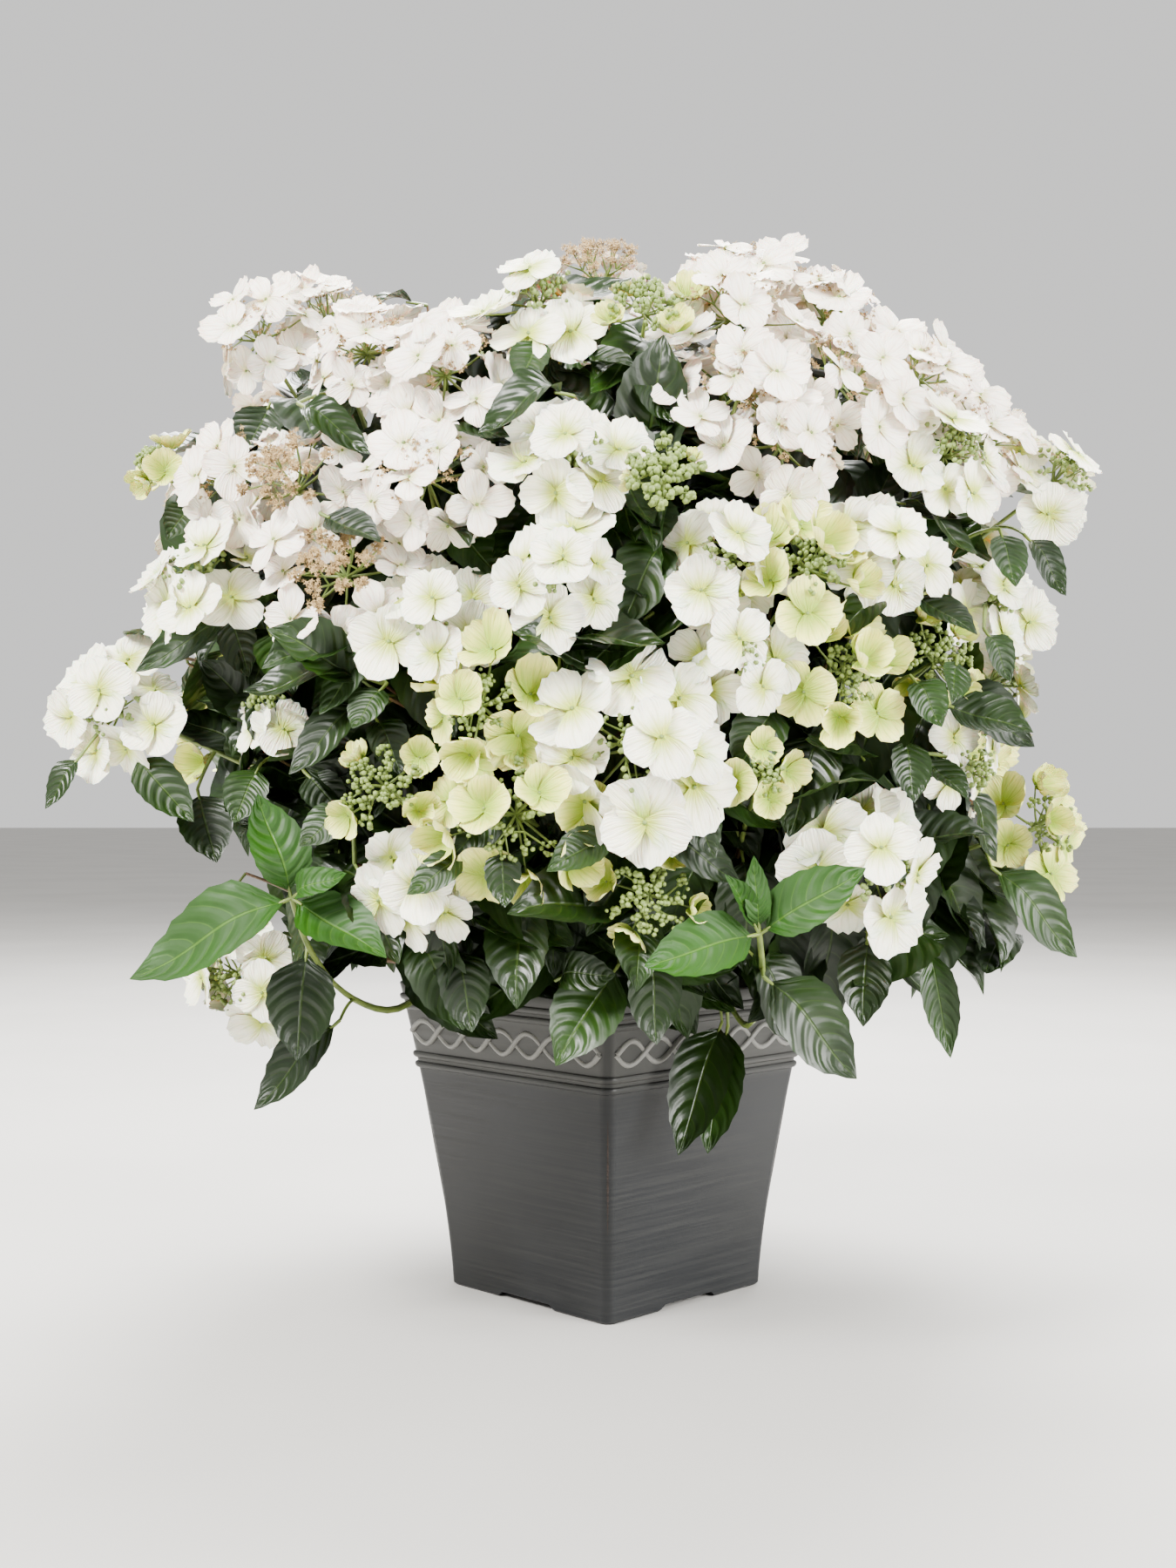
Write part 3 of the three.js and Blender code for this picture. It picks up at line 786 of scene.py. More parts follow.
def makeJoined(name, copies):
    points, corners, sides, uvs = [], [], [], []
    offset = 0
    for stencil, placed in copies:
        points.append(stencil.points @ placed[:3, :3].T + placed[:3, 3])
        corners.append(stencil.corners + offset)
        sides.append(stencil.sides)
        uvs.append(stencil.uv)
        offset += len(stencil.points)
    points, corners, sides, uvs = map(np.concatenate, (points, corners, sides, uvs))
    starts = np.concatenate([[0], np.cumsum(sides)[:-1]])
    mesh = bpy.data.meshes.new(name)
    for items, count, key, values in ((mesh.vertices, len(points), "co", points.ravel()),
                                      (mesh.loops, len(corners), "vertex_index", corners.astype(np.int32)),
                                      (mesh.polygons, len(sides), "loop_start", starts.astype(np.int32))):
        items.add(count)
        items.foreach_set(key, values)
    mesh.update(calc_edges=True)
    mesh.uv_layers.new(name="UVMap").data.foreach_set("uv", uvs)
    mesh.validate()
    piece = bpy.data.objects.new(name, mesh)
    bpy.context.collection.objects.link(piece)
    hold(piece)
    bpy.ops.object.shade_smooth()
    return piece


# Crown: the rule that the solids follow, carried finer

crown = {"centre": vec(-0.005, 0, 0.442), "half": vec(0.345, 0.3, 0.3), "squareness": 2.8, "headLift": 0.35,
         "headForward": 0.6, "sideForward": 0.5, "forwardSlope": 2}
canes = {"start": vec(0, 0, 0.2256), "footRadius": 0.0042, "tipRadius": 0.0027, "reach": 0.56, "arch": 0.16,
         "rings": [(0.6, 0.01), (0.43, 0.021), (-1.0, 0.033)], "steps": 40, "slack": 1.05, "nodeEvery": 0.042,
         "nodeSwell": 0.32, "nodeHalf": 0.004, "roundness": 3}
twigs = {"footRadius": 0.0024, "tipRadius": 0.0013, "bow": 0.018, "bend": 0.55, "stem": 0.014, "collar": 1.1,
         "overlap": 0.002, "steps": 8, "roundness": 0, "leaves": [(0.85, 0.62, 0.5), (-1.0, 0.95, 0.22)]}
leaves = {"length": 0.075, "width": 0.042, "widths": (0.9, 1.1), "variety": 0.45, "lightPull": vec(0, 0, 0.9),
          "lean": 0.7, "turn": 0.25, "facing": 0.3, "sag": 0.3, "sags": (0.6, 1.5), "petiole": 0.016,
          "petioleRadii": (0.00132, 0.00088), "petioleSteps": 3, "knee": 0.6, "lift": 0.35, "tuck": 0.004,
          "drop": 0.15, "looked": (0.45, 0.75, 1.0)}
whiteHead = {"petals": "petalWhite", "eye": "budGreen", "forms": ["open", "broad", "full"], "inner": 1,
             "buds": 72, "bead": (0.0014, 0.0024), "pairs": [0.3, 0.52, 0.74, 0.92], "lift": -0.003,
             "toss": 0.3}
fadedHead = {**whiteHead, "petals": "petalFaded", "eye": "budBeige", "forms": ["starry", "loose", "open"],
             "pairs": [0.34, 0.6, 0.86], "toss": 0.4}
limeHead = {**whiteHead, "petals": "petalLime", "forms": ["cupped", "bowl", "open"]}
budHead = {**limeHead, "forms": ["bowl", "cupped"], "inner": 0}
blooms = {
    "white": {**whiteHead, "radius": 0.054, "florets": 7, "floretRadius": 0.0248, "tilt": 0.55},
    "modest": {**whiteHead, "radius": 0.046, "florets": 6, "floretRadius": 0.0232, "tilt": 0.5, "buds": 54},
    "grand": {**whiteHead, "radius": 0.064, "florets": 8, "floretRadius": 0.028, "tilt": 0.45},
    "small": {**whiteHead, "radius": 0.038, "florets": 4, "floretRadius": 0.02, "tilt": 0.6, "buds": 54,
              "inner": 0, "forms": ["broad", "loose", "cupped"]},
    "faded": {**fadedHead, "radius": 0.056, "florets": 9, "floretRadius": 0.0214, "tilt": 0.7, "buds": 162,
              "inner": 3, "forms": ["starry", "loose", "open", "ruffled"], "lift": 0.001},
    "beige": {**fadedHead, "radius": 0.058, "florets": 8, "floretRadius": 0.0216, "tilt": 0.6, "buds": 576,
              "inner": 0, "lift": 0.002},
    "lime": {**limeHead, "radius": 0.046, "florets": 6, "floretRadius": 0.0205, "tilt": 0.5, "buds": 108},
    "limeGrand": {**limeHead, "radius": 0.059, "florets": 9, "floretRadius": 0.0215, "tilt": 0.5, "buds": 144,
                  "inner": 2},
    "bud": {**budHead, "radius": 0.04, "florets": 4, "floretRadius": 0.015, "tilt": 0.6, "buds": 180},
    "sprig": {**budHead, "radius": 0.03, "florets": 4, "floretRadius": 0.0165, "tilt": 0.7, "buds": 54},
    "umbel": {**budHead, "radius": 0.03, "florets": 2, "floretRadius": 0.009, "tilt": 0.9, "buds": 252,
              "forms": ["bowl"], "bead": (0.0017, 0.0027)},
    "shoot": {"florets": 0, "radius": 0.0, "pairs": [0.3, 0.5, 0.72, 0.97]},
    "young": {"florets": 0, "radius": 0.0, "pairs": [0.3, 0.5]},
}
head = {"radius": 0.066, "depth": 0.026, "sink": 0.8, "stalkSink": 0.7, "rise": 0.009, "hold": 0.008,
        "level": vec(0, 0.2, 1), "floretWidth": 2 * math.cos(math.pi / 6)}


def crownPoint(bearing, height, reach):
    rise = min(abs(height - crown["centre"][2]) / crown["half"][2], 1)
    ring = (1 - rise ** crown["squareness"]) ** (1 / crown["squareness"])
    angle = math.radians(bearing)
    return vec(crown["centre"][0] + crown["half"][0] * ring * reach * math.sin(angle),
               crown["centre"][1] - crown["half"][1] * ring * reach * math.cos(angle), height)


def crownOffset(point):
    return (point - crown["centre"]) / crown["half"]


def crownNormal(point):
    out = crownOffset(point)
    forward = crown["headForward"] * min(max(crown["sideForward"] - crown["forwardSlope"] * out[1], 0), 1)
    return unit(out + vec(0, -forward, crown["headLift"]))


class Head:
    def __init__(self, bearing, height, kind, reach=1.0, facing=None):
        self.bearing, self.height, self.bloom = bearing, height / 1000, blooms[kind]
        self.point = crownPoint(bearing, self.height, reach)
        self.normal = unit(vec(*facing)) if facing else crownNormal(self.point)


def readHeads(table):
    return {name: [Head(*row) for row in rows] for name, rows in table.items()}


# Each head of a mass: bearing in degrees, height in millimetres, kind, and, where they differ from the
# rule, its reach as a share of the dome's and its facing.
masses = readHeads({
    "top_left": [(-62, 690, "faded", 1.09, (-0.3, -0.75, 0.6)), (-32, 656, "faded", 1.0, (-0.2, -0.8, 0.6))],
    "crown_top": [(-9, 685, "white"), (6, 672, "bud"), (0, 738, "beige"), (0, 742, "beige")],
    "top_right": [(18, 676, "faded"), (37, 689, "faded"), (90, 732, "faded")],
    "right_shoulder": [(46, 645, "faded"), (44, 590, "white"), (68, 588, "white", 1.06, (0.45, -0.75, 0.45))],
    "upper_left": [(-36, 562, "beige"), (-19, 562, "faded")],
    "left_shoot": [(-62, 592, "sprig", 1.06, (-0.5, -0.6, 0.5)),
                   (-48, 513, "white", 1.02, (-0.2, -0.55, 0.75))],
    "upper_centre": [(-3, 571, "modest"), (20, 585, "faded")],
    "middle_left": [(-28, 503, "beige"), (-18, 474, "modest", 0.97)],
    "middle": [(-4, 495, "modest", 1.04), (-12, 418, "lime", 1.02)],
    "middle_right": [(13, 509, "modest"), (14, 450, "modest")],
    "right_middle": [(32, 520, "modest"), (40, 450, "bud", 0.97)],
    "right_side": [(57, 498, "modest", 0.93), (84, 515, "white", 0.88), (78, 415, "lime", 0.82)],
    "left_wing": [(-62, 424, "white", 1.08, (-0.3, -0.9, 0.25)),
                  (-43, 425, "small", 0.92, (-0.3, -0.4, 0.85))],
    "front": [(3, 392, "grand", 1.03), (-9, 352, "limeGrand")],
    "low_left": [(-23, 369, "bud"), (-20, 308, "modest"), (-34, 238, "shoot", 0.86)],
    "low_centre": [(5, 302, "bud"), (-6, 248, "shoot", 0.9), (17, 279, "young", 0.95)],
    "low_right": [(30, 321, "white", 1.02), (17, 376, "sprig", 0.98), (26, 250, "shoot")],
    "right_skirt": [(46, 381, "small", 0.98), (60, 344, "lime", 1.02, (0.4, -0.85, 0.2)), (52, 272, "shoot")],
    "left_skirt": [(-59, 238, "white"), (-36, 299, "young", 0.95)],
    "left_side": [(-92, 600, "faded", 0.93), (-100, 505, "white", 0.88), (-98, 350, "shoot", 0.8)],
    "back_top": [(140, 712, "faded"), (200, 706, "faded"), (172, 650, "white")],
    "back_right_top": [(98, 645, "faded"), (128, 630, "white"), (112, 560, "white")],
    "back_left_top": [(-112, 668, "faded"), (-138, 635, "white"), (-122, 565, "white")],
    "back_right": [(136, 480, "white"), (118, 370, "white")],
    "back_middle": [(160, 545, "white"), (192, 555, "faded"), (172, 450, "lime")],
    "back_left": [(-142, 480, "white"), (-122, 400, "lime")],
    "back_skirt": [(150, 310, "white"), (184, 345, "white"), (216, 290, "white", 0.97)],
})

# Smaller heads between those of the solids, on twigs of the same masses.
extraHeads = readHeads({
    "top_left": [(-66, 712, "faded", 1.02, (-0.2, -0.5, 0.85)), (-19, 633, "faded")],
    "crown_top": [(180, 729, "faded"), (-80, 700, "faded", 0.55)],
    "top_right": [(28, 712, "faded"), (30, 632, "faded")],
    "right_shoulder": [(58, 612, "faded", 0.97)],
    "upper_left": [(-48, 575, "faded", 0.98)],
    "upper_centre": [(6, 552, "umbel", 1.04), (16, 618, "faded")],
    "middle_right": [(21, 503, "lime", 1.03)],
    "right_middle": [(26, 438, "lime")],
    "left_side": [(-78, 520, "white", 0.9), (-84, 420, "lime", 0.86)],
    "back_top": [(170, 725, "faded")],
    "back_right_top": [(112, 690, "faded")],
    "back_left_top": [(-120, 715, "faded", 0.96)],
    "back_right": [(124, 440, "lime"), (104, 460, "white", 0.96)],
    "back_middle": [(188, 470, "white")],
    "back_left": [(-118, 475, "white", 0.97), (-146, 400, "white")],
    "back_skirt": [(166, 380, "lime")],
})


def headAxes(normal):
    level = unit(np.cross(head["level"], normal))
    return level, np.cross(normal, level)


def aroundHead(axes, angle):
    return axes[0] * math.cos(angle) + axes[1] * math.sin(angle)


def placing(origin, along, face, *sizes):
    x = unit(along)
    y = unit(np.cross(face, x))
    placed = np.eye(4)
    placed[:3, :3] = np.array([x, y, np.cross(x, y)]).T * sizes
    placed[:3, 3] = origin
    return placed


def bow(first, middle, last, steps):
    share = np.linspace(0, 1, steps + 1)[:, None]
    return (1 - share) ** 2 * first + 2 * share * (1 - share) * middle + share ** 2 * last


grown = {kind: [] for kind in looks if kind.startswith(("leaf", "petal", "bud"))}
stemRuns = {"bark": [], "twigRed": [], "twigGreen": []}


def addCopy(kind, stencil, *placed):
    grown[kind].append((stencil, placing(*placed)))


def addStem(kind, points, first, last):
    stemRuns[kind].append((np.array(points), np.linspace(first, last, len(points))))


# Heads and clearings that no leaf may stand in front of: centre, facing, radius.
standing = [(each.point, each.normal, each.bloom["radius"]) for table in (masses, extraHeads)
            for heads in table.values() for each in heads if each.bloom["florets"]]
clearings = [(vec(-0.222, -0.24, 0.298), unit(vec(-0.1, -1, 0.1)), 0.09),
             (vec(0.088, -0.27, 0.276), unit(vec(0, -1, 0.1)), 0.088),
             (vec(-0.172, -0.165, 0.236), unit(vec(-0.3, -1, 0)), 0.055),
             (vec(-0.285, -0.17, 0.435), unit(vec(-0.4, -0.9, 0.1)), 0.055)]
room = {"cover": 0.78, "front": -0.02, "fall": 0.2, "topHeight": 0.62, "topReach": 0.98, "sideReach": 1.07,
        "rimRadius": 0.2, "rimHeight": 0.226, "lowest": 0.2}
# Places where the crown draws in: bearing, height, half their width in degrees and in metres, and reach.
hollows = [(-86, 0.632, 34, 0.05, 0.9), (-82, 0.315, 42, 0.085, 0.84), (82, 0.42, 44, 0.1, 0.84),
           (-26, 0.68, 12, 0.03, 0.9), (-58, 0.73, 50, 0.045, 0.84)]


def crownLevel(point):
    offset, power = crownOffset(point), crown["squareness"]
    return (math.hypot(offset[0], offset[1]) ** power + abs(offset[2]) ** power) ** (1 / power)


def crownLimit(point):
    limit = room["topReach"] if point[2] > room["topHeight"] else room["sideReach"]
    offset = crownOffset(point)
    bearing = math.degrees(math.atan2(offset[0], -offset[1]))
    for middle, height, wide, tall, reach in hollows:
        if math.hypot((bearing - middle) / wide, (point[2] - height) / tall) < 1:
            limit = min(limit, reach)
    return limit


def coversBlossom(point):
    for centre, normal, radius in standing + clearings:
        offset = point - centre
        height = offset @ normal
        out = math.sqrt(max(offset @ offset - height * height, 0))
        if out < radius * room["cover"] and room["front"] - room["fall"] * out < height < radius:
            return True
    return False


def alongLeaf(base, along, length, share):
    return base + along * length * share - vec(0, 0, leaves["drop"] * length * share)


def hasRoom(base, along, length):
    tip = alongLeaf(base, along, length, 1.0)
    lowest = room["rimHeight"] if math.hypot(tip[0], tip[1]) < room["rimRadius"] else room["lowest"]
    if tip[2] < lowest or crownLevel(tip) > crownLimit(tip):
        return False
    return not any(coversBlossom(alongLeaf(base, along, length, share)) for share in leaves["looked"])


def growLeaf(rng, foot, along, face, size, kind):
    along = unit(along)
    stalk = unit(along + leaves["lift"] * unit(face)) * (leaves["petiole"] * size)
    base = foot + stalk
    if not hasRoom(base, along, leaves["length"] * size):
        return False
    path = bow(foot, foot + stalk * leaves["knee"], base + along * leaves["tuck"], leaves["petioleSteps"])
    addStem("twigGreen", path, *leaves["petioleRadii"])
    length, width = leaves["length"] * size, leaves["width"] * size * rng.uniform(*leaves["widths"])
    addCopy(kind, rng.choice(leafStencils), base, along, face, length, width, length)
    return True


def growPair(rng, joint, axes, normal, turn, share, size, kind):
    both, sway = [], leaves["facing"]
    for side in (0, math.pi):
        along = aroundHead(axes, turn + side + wobble(rng, leaves["turn"])) + normal * leaves["lean"] * share
        along[2] -= leaves["sag"] * rng.uniform(*leaves["sags"])
        face = normal + leaves["lightPull"] + vec(wobble(rng, sway), wobble(rng, sway), 0)
        each = size * (1 + leaves["variety"] * (rng.random() - 0.5))
        both.append(growLeaf(rng, joint, along, face, each, kind))
    return any(both)


# Rows of looked: from which share of the path they hold, size of the leaves, share that is mid green.
def growPairs(rng, path, axes, normal, roll, shares, looked):
    steps = [0]
    for pair, share in enumerate(shares):
        size, fresh = next(row[1:] for row in looked if share > row[0])
        kind = "leafMid" if rng.random() < fresh else "leafDark"
        step = round(share * (len(path) - 1))
        if growPair(rng, path[step], axes, normal, roll + pair * math.pi / 2, share, size, kind):
            steps.append(step)
    return max(steps)


cyme = {"branches": 6, "turn": 0.2, "fork": 0.42, "forkRise": 0.45, "rings": (0.35, 0.72, 1.0), "fan": 0.34,
        "fanTurn": 0.12, "spacing": (0.85, 1.05), "branchRadii": (0.0011, 0.0008),
        "tuftRadii": (0.0008, 0.0005), "aside": (0.0005, 0.0052), "above": (-0.001, 0.005),
        "starlet": (0.0012, 0.0024), "lean": 0.6, "leastLift": -0.2}
roundTurn = 6.28


def growBud(rng, tuft, axes, normal, bloom):
    spot = (tuft + aroundHead(axes, rng.uniform(0, roundTurn)) * rng.uniform(*cyme["aside"])
            + normal * rng.uniform(*cyme["above"]))
    if bloom["eye"] == "budBeige":
        size, lean = rng.uniform(*cyme["starlet"]), cyme["lean"]
        face = unit(normal + vec(wobble(rng, lean), wobble(rng, lean), rng.uniform(cyme["leastLift"], lean)))
        addCopy("budBeige", starletStencil, spot, aroundHead(axes, rng.uniform(0, roundTurn)), face, size)
    else:
        addCopy("budGreen", beadStencil, spot, axes[0], normal, rng.uniform(*bloom["bead"]))


def growCyme(rng, point, axes, normal, bloom, foot, rim):
    scale = bloom["radius"] / head["radius"]
    each = max(1, round(bloom["buds"] / (cyme["branches"] * len(cyme["rings"]))))
    for branch in range(cyme["branches"]):
        turn = 2 * math.pi * branch / cyme["branches"] + wobble(rng, cyme["turn"])
        fork = (foot + aroundHead(axes, turn) * rim * cyme["fork"]
                + normal * head["depth"] * scale * cyme["forkRise"])
        addStem("twigGreen", [foot, fork], *cyme["branchRadii"])
        for order, ring in enumerate(cyme["rings"]):
            out = rim * ring * rng.uniform(*cyme["spacing"])
            angle = turn + (order - 1) * cyme["fan"] + wobble(rng, cyme["fanTurn"])
            rise = head["rise"] * scale * (1 - (out / rim) ** 2)
            tuft = point + aroundHead(axes, angle) * out + normal * (rise + bloom["lift"])
            addStem("twigGreen", [fork, tuft], *cyme["tuftRadii"])
            for _ in range(each):
                growBud(rng, tuft, axes, normal, bloom)


floret = {"sizes": (0.84, 1.12), "turn": 0.16, "tilts": (0.3, 1.7), "innerTilts": (-0.1, 0.25), "sink": 0.003,
          "rise": 0.004, "innerReach": (0.5, 1.1), "innerRise": (0.010, 0.014), "stalkSag": 0.004,
          "stalkEnd": 0.001, "stalkSteps": 3, "stalkRadii": (0.001, 0.0006), "eye": 0.07, "eyeRise": 0.6}


def growHead(rng, point, axes, normal, roll, bloom):
    scale = bloom["radius"] / head["radius"]
    foot = point - normal * head["depth"] * scale * head["stalkSink"]
    rim = bloom["radius"] - bloom["floretRadius"] * head["floretWidth"]
    growCyme(rng, point, axes, normal, bloom, foot, rim + head["hold"])
    for outer, count in ((True, bloom["florets"]), (False, bloom["inner"])):
        for i in range(count):
            radius = bloom["floretRadius"] * rng.uniform(*floret["sizes"])
            turn = roll + 2 * math.pi * (i + wobble(rng, floret["turn"])) / count
            tilt = rng.uniform(*floret["tilts" if outer else "innerTilts"]) * (bloom["tilt"] if outer else 1)
            radial = aroundHead(axes, turn)
            outward = radial * math.cos(tilt) - normal * math.sin(tilt)
            if outer:
                centre = (point + radial * rim - normal * floret["sink"] + outward * radius
                          + normal * wobble(rng, floret["rise"]))
            else:
                centre = (point + radial * rim * rng.uniform(*floret["innerReach"])
                          + normal * rng.uniform(*floret["innerRise"]) * scale)
            sag = (foot + centre) / 2 - normal * floret["stalkSag"]
            stalk = bow(foot, sag, centre - normal * floret["stalkEnd"], floret["stalkSteps"])
            addStem("twigGreen", stalk, *floret["stalkRadii"])
            spun = rng.uniform(0, 2 * math.pi)
            toss = vec(*(wobble(rng, bloom["toss"]) for _ in range(3)))
            face = unit(normal * math.cos(tilt) + radial * math.sin(tilt) + toss)
            side = unit(np.cross(face, outward))
            along = np.cross(side, face) * math.cos(spun) + side * math.sin(spun)
            addCopy(bloom["petals"], floretStencils[rng.choice(bloom["forms"])], centre, along, face, radius)
            eye = radius * floret["eye"]
            addCopy("budGreen", beadStencil, centre + face * eye * floret["eyeRise"], along, face, eye)


def growCane(path):
    length = float(np.linalg.norm(path[-1] - path[0])) * canes["slack"]
    radii = []
    for step in range(len(path)):
        share = step / (len(path) - 1)
        fromNode = abs((share * length) % canes["nodeEvery"] - canes["nodeEvery"] / 2)
        swell = 1 + canes["nodeSwell"] * max(0.0, 1 - fromNode / canes["nodeHalf"])
        radii.append((canes["footRadius"] + (canes["tipRadius"] - canes["footRadius"]) * share) * swell)
    stemRuns["bark"].append((path, radii))


def growMass(order, name, heads):
    rng = random.Random(massSeed + order)
    middle = sum(each.point for each in heads) / len(heads)
    entry = canes["start"] + (middle - canes["start"]) * canes["reach"]
    radius = next(size for above, size in canes["rings"] if middle[2] > above)
    angle = math.atan2(middle[1], middle[0])
    foot = vec(radius * math.cos(angle), radius * math.sin(angle), canes["start"][2])
    knee = (foot + entry) / 2 + vec(0, 0, canes["arch"] * np.linalg.norm(entry - foot))
    cane = bow(foot, knee, entry, canes["steps"])
    growCane(cane)
    start = unit(cane[-1] - cane[-2])
    fork = entry + start * twigs["stem"]
    collar = twigs["footRadius"] * twigs["collar"]
    addStem("twigRed", [entry - start * twigs["overlap"], fork], canes["tipRadius"], collar)
    for each in heads + extraHeads.get(name, []):
        growTwig(rng, fork, each)
    growFilling(rng, heads, cane, fork)


def growTwig(rng, fork, place):
    bloom, point, normal = place.bloom, place.point, place.normal
    axes = headAxes(normal)
    tip = point - normal * head["depth"] * bloom["radius"] / head["radius"] * head["sink"]
    bend = fork + (tip - fork) * twigs["bend"] - normal * twigs["bow"] + vec(0, 0, twigs["bow"] / 2)
    path = bow(fork, bend, tip, twigs["steps"])
    half = twigs["steps"] // 2
    radii = np.linspace(twigs["footRadius"], twigs["tipRadius"], twigs["steps"] + 1)
    stemRuns["twigRed"].append((path[:half + 1], radii[:half + 1]))
    roll = rng.uniform(0, math.pi)
    last = twigs["steps"] if bloom["florets"] else half + 1
    last = max(last, growPairs(rng, path, axes, normal, roll, bloom["pairs"], twigs["leaves"]))
    stemRuns["twigGreen"].append((path[half:last + 1], radii[half:last + 1]))
    if bloom["florets"]:
        growHead(rng, point, axes, normal, roll, bloom)


filling = {"inner": 4, "reach": (0.66, 0.88), "bearing": 13, "height": 0.05, "gaps": 5, "gapTries": 14,
           "gapReach": (0.9, 0.98), "gapBearing": 24, "gapHeight": 0.085, "lowest": 0.27, "highest": 0.7,
           "rise": 0.012, "steps": 6, "pairs": [0.34, 0.56, 0.76, 0.96], "leaves": [(-1.0, 0.95, 0.2)],
           "radii": (0.0019, 0.0011)}


def gapPoint(rng, near):
    best, most = None, -1.0
    for _ in range(filling["gapTries"]):
        height = near.height + rng.uniform(-1, 1) * filling["gapHeight"]
        height = min(max(height, filling["lowest"]), filling["highest"])
        bearing = near.bearing + rng.uniform(-1, 1) * filling["gapBearing"]
        limit = min(1, crownLimit(crownPoint(bearing, height, 1)))
        spot = crownPoint(bearing, height, rng.uniform(*filling["gapReach"]) * limit)
        clear = min(np.linalg.norm(spot - other[0]) for other in standing)
        if clear > most:
            best, most = spot, clear
    return best


def growFilling(rng, heads, cane, fork):
    for shoot in range(filling["inner"] + filling["gaps"]):
        near = rng.choice(heads)
        if shoot < filling["inner"]:
            height = max(filling["lowest"], near.height + rng.uniform(-1, 1) * filling["height"])
            bearing = near.bearing + rng.uniform(-1, 1) * filling["bearing"]
            tip = crownPoint(bearing, height, rng.uniform(*filling["reach"]))
        else:
            tip = gapPoint(rng, near)
        normal = crownNormal(tip)
        source = cane[rng.randint(len(cane) // 2, len(cane) - 1)] if shoot % 2 else fork
        path = bow(source, (source + tip) / 2 + vec(0, 0, filling["rise"]), tip, filling["steps"])
        roll = rng.uniform(0, math.pi)
        last = growPairs(rng, path, headAxes(normal), normal, roll, filling["pairs"], filling["leaves"])
        if last:
            addStem("twigRed", path[:last + 1], *filling["radii"])


massSeed = 100
for order, (name, heads) in enumerate(masses.items()):
    growMass(order, name, heads)
print("crown grown", {kind: len(copies) for kind, copies in grown.items()})


# Young shoots over the rim, and leaves that show singly

# Points of each path, then tip and width of each leaf at its end, in millimetres.
shoots = [
    {"path": [(-30, -10, 226), (-112, -38, 250), (-142, -92, 209), (-174, -158, 228), (-192, -208, 264),
              (-198, -235, 299)], "radius": 0.0028,
     "leaves": [(-296, -246, 258, 52), (-212, -247, 357, 37), (-142, -268, 268, 39), (-172, -262, 316, 20)]},
    {"path": [(30, -20, 226), (72, -84, 248), (93, -122, 200), (99, -178, 224), (96, -232, 252),
              (90, -270, 279)], "radius": 0.0026,
     "leaves": [(27, -302, 268, 38), (143, -296, 317, 37), (86, -288, 318, 16), (72, -292, 312, 14)]},
]

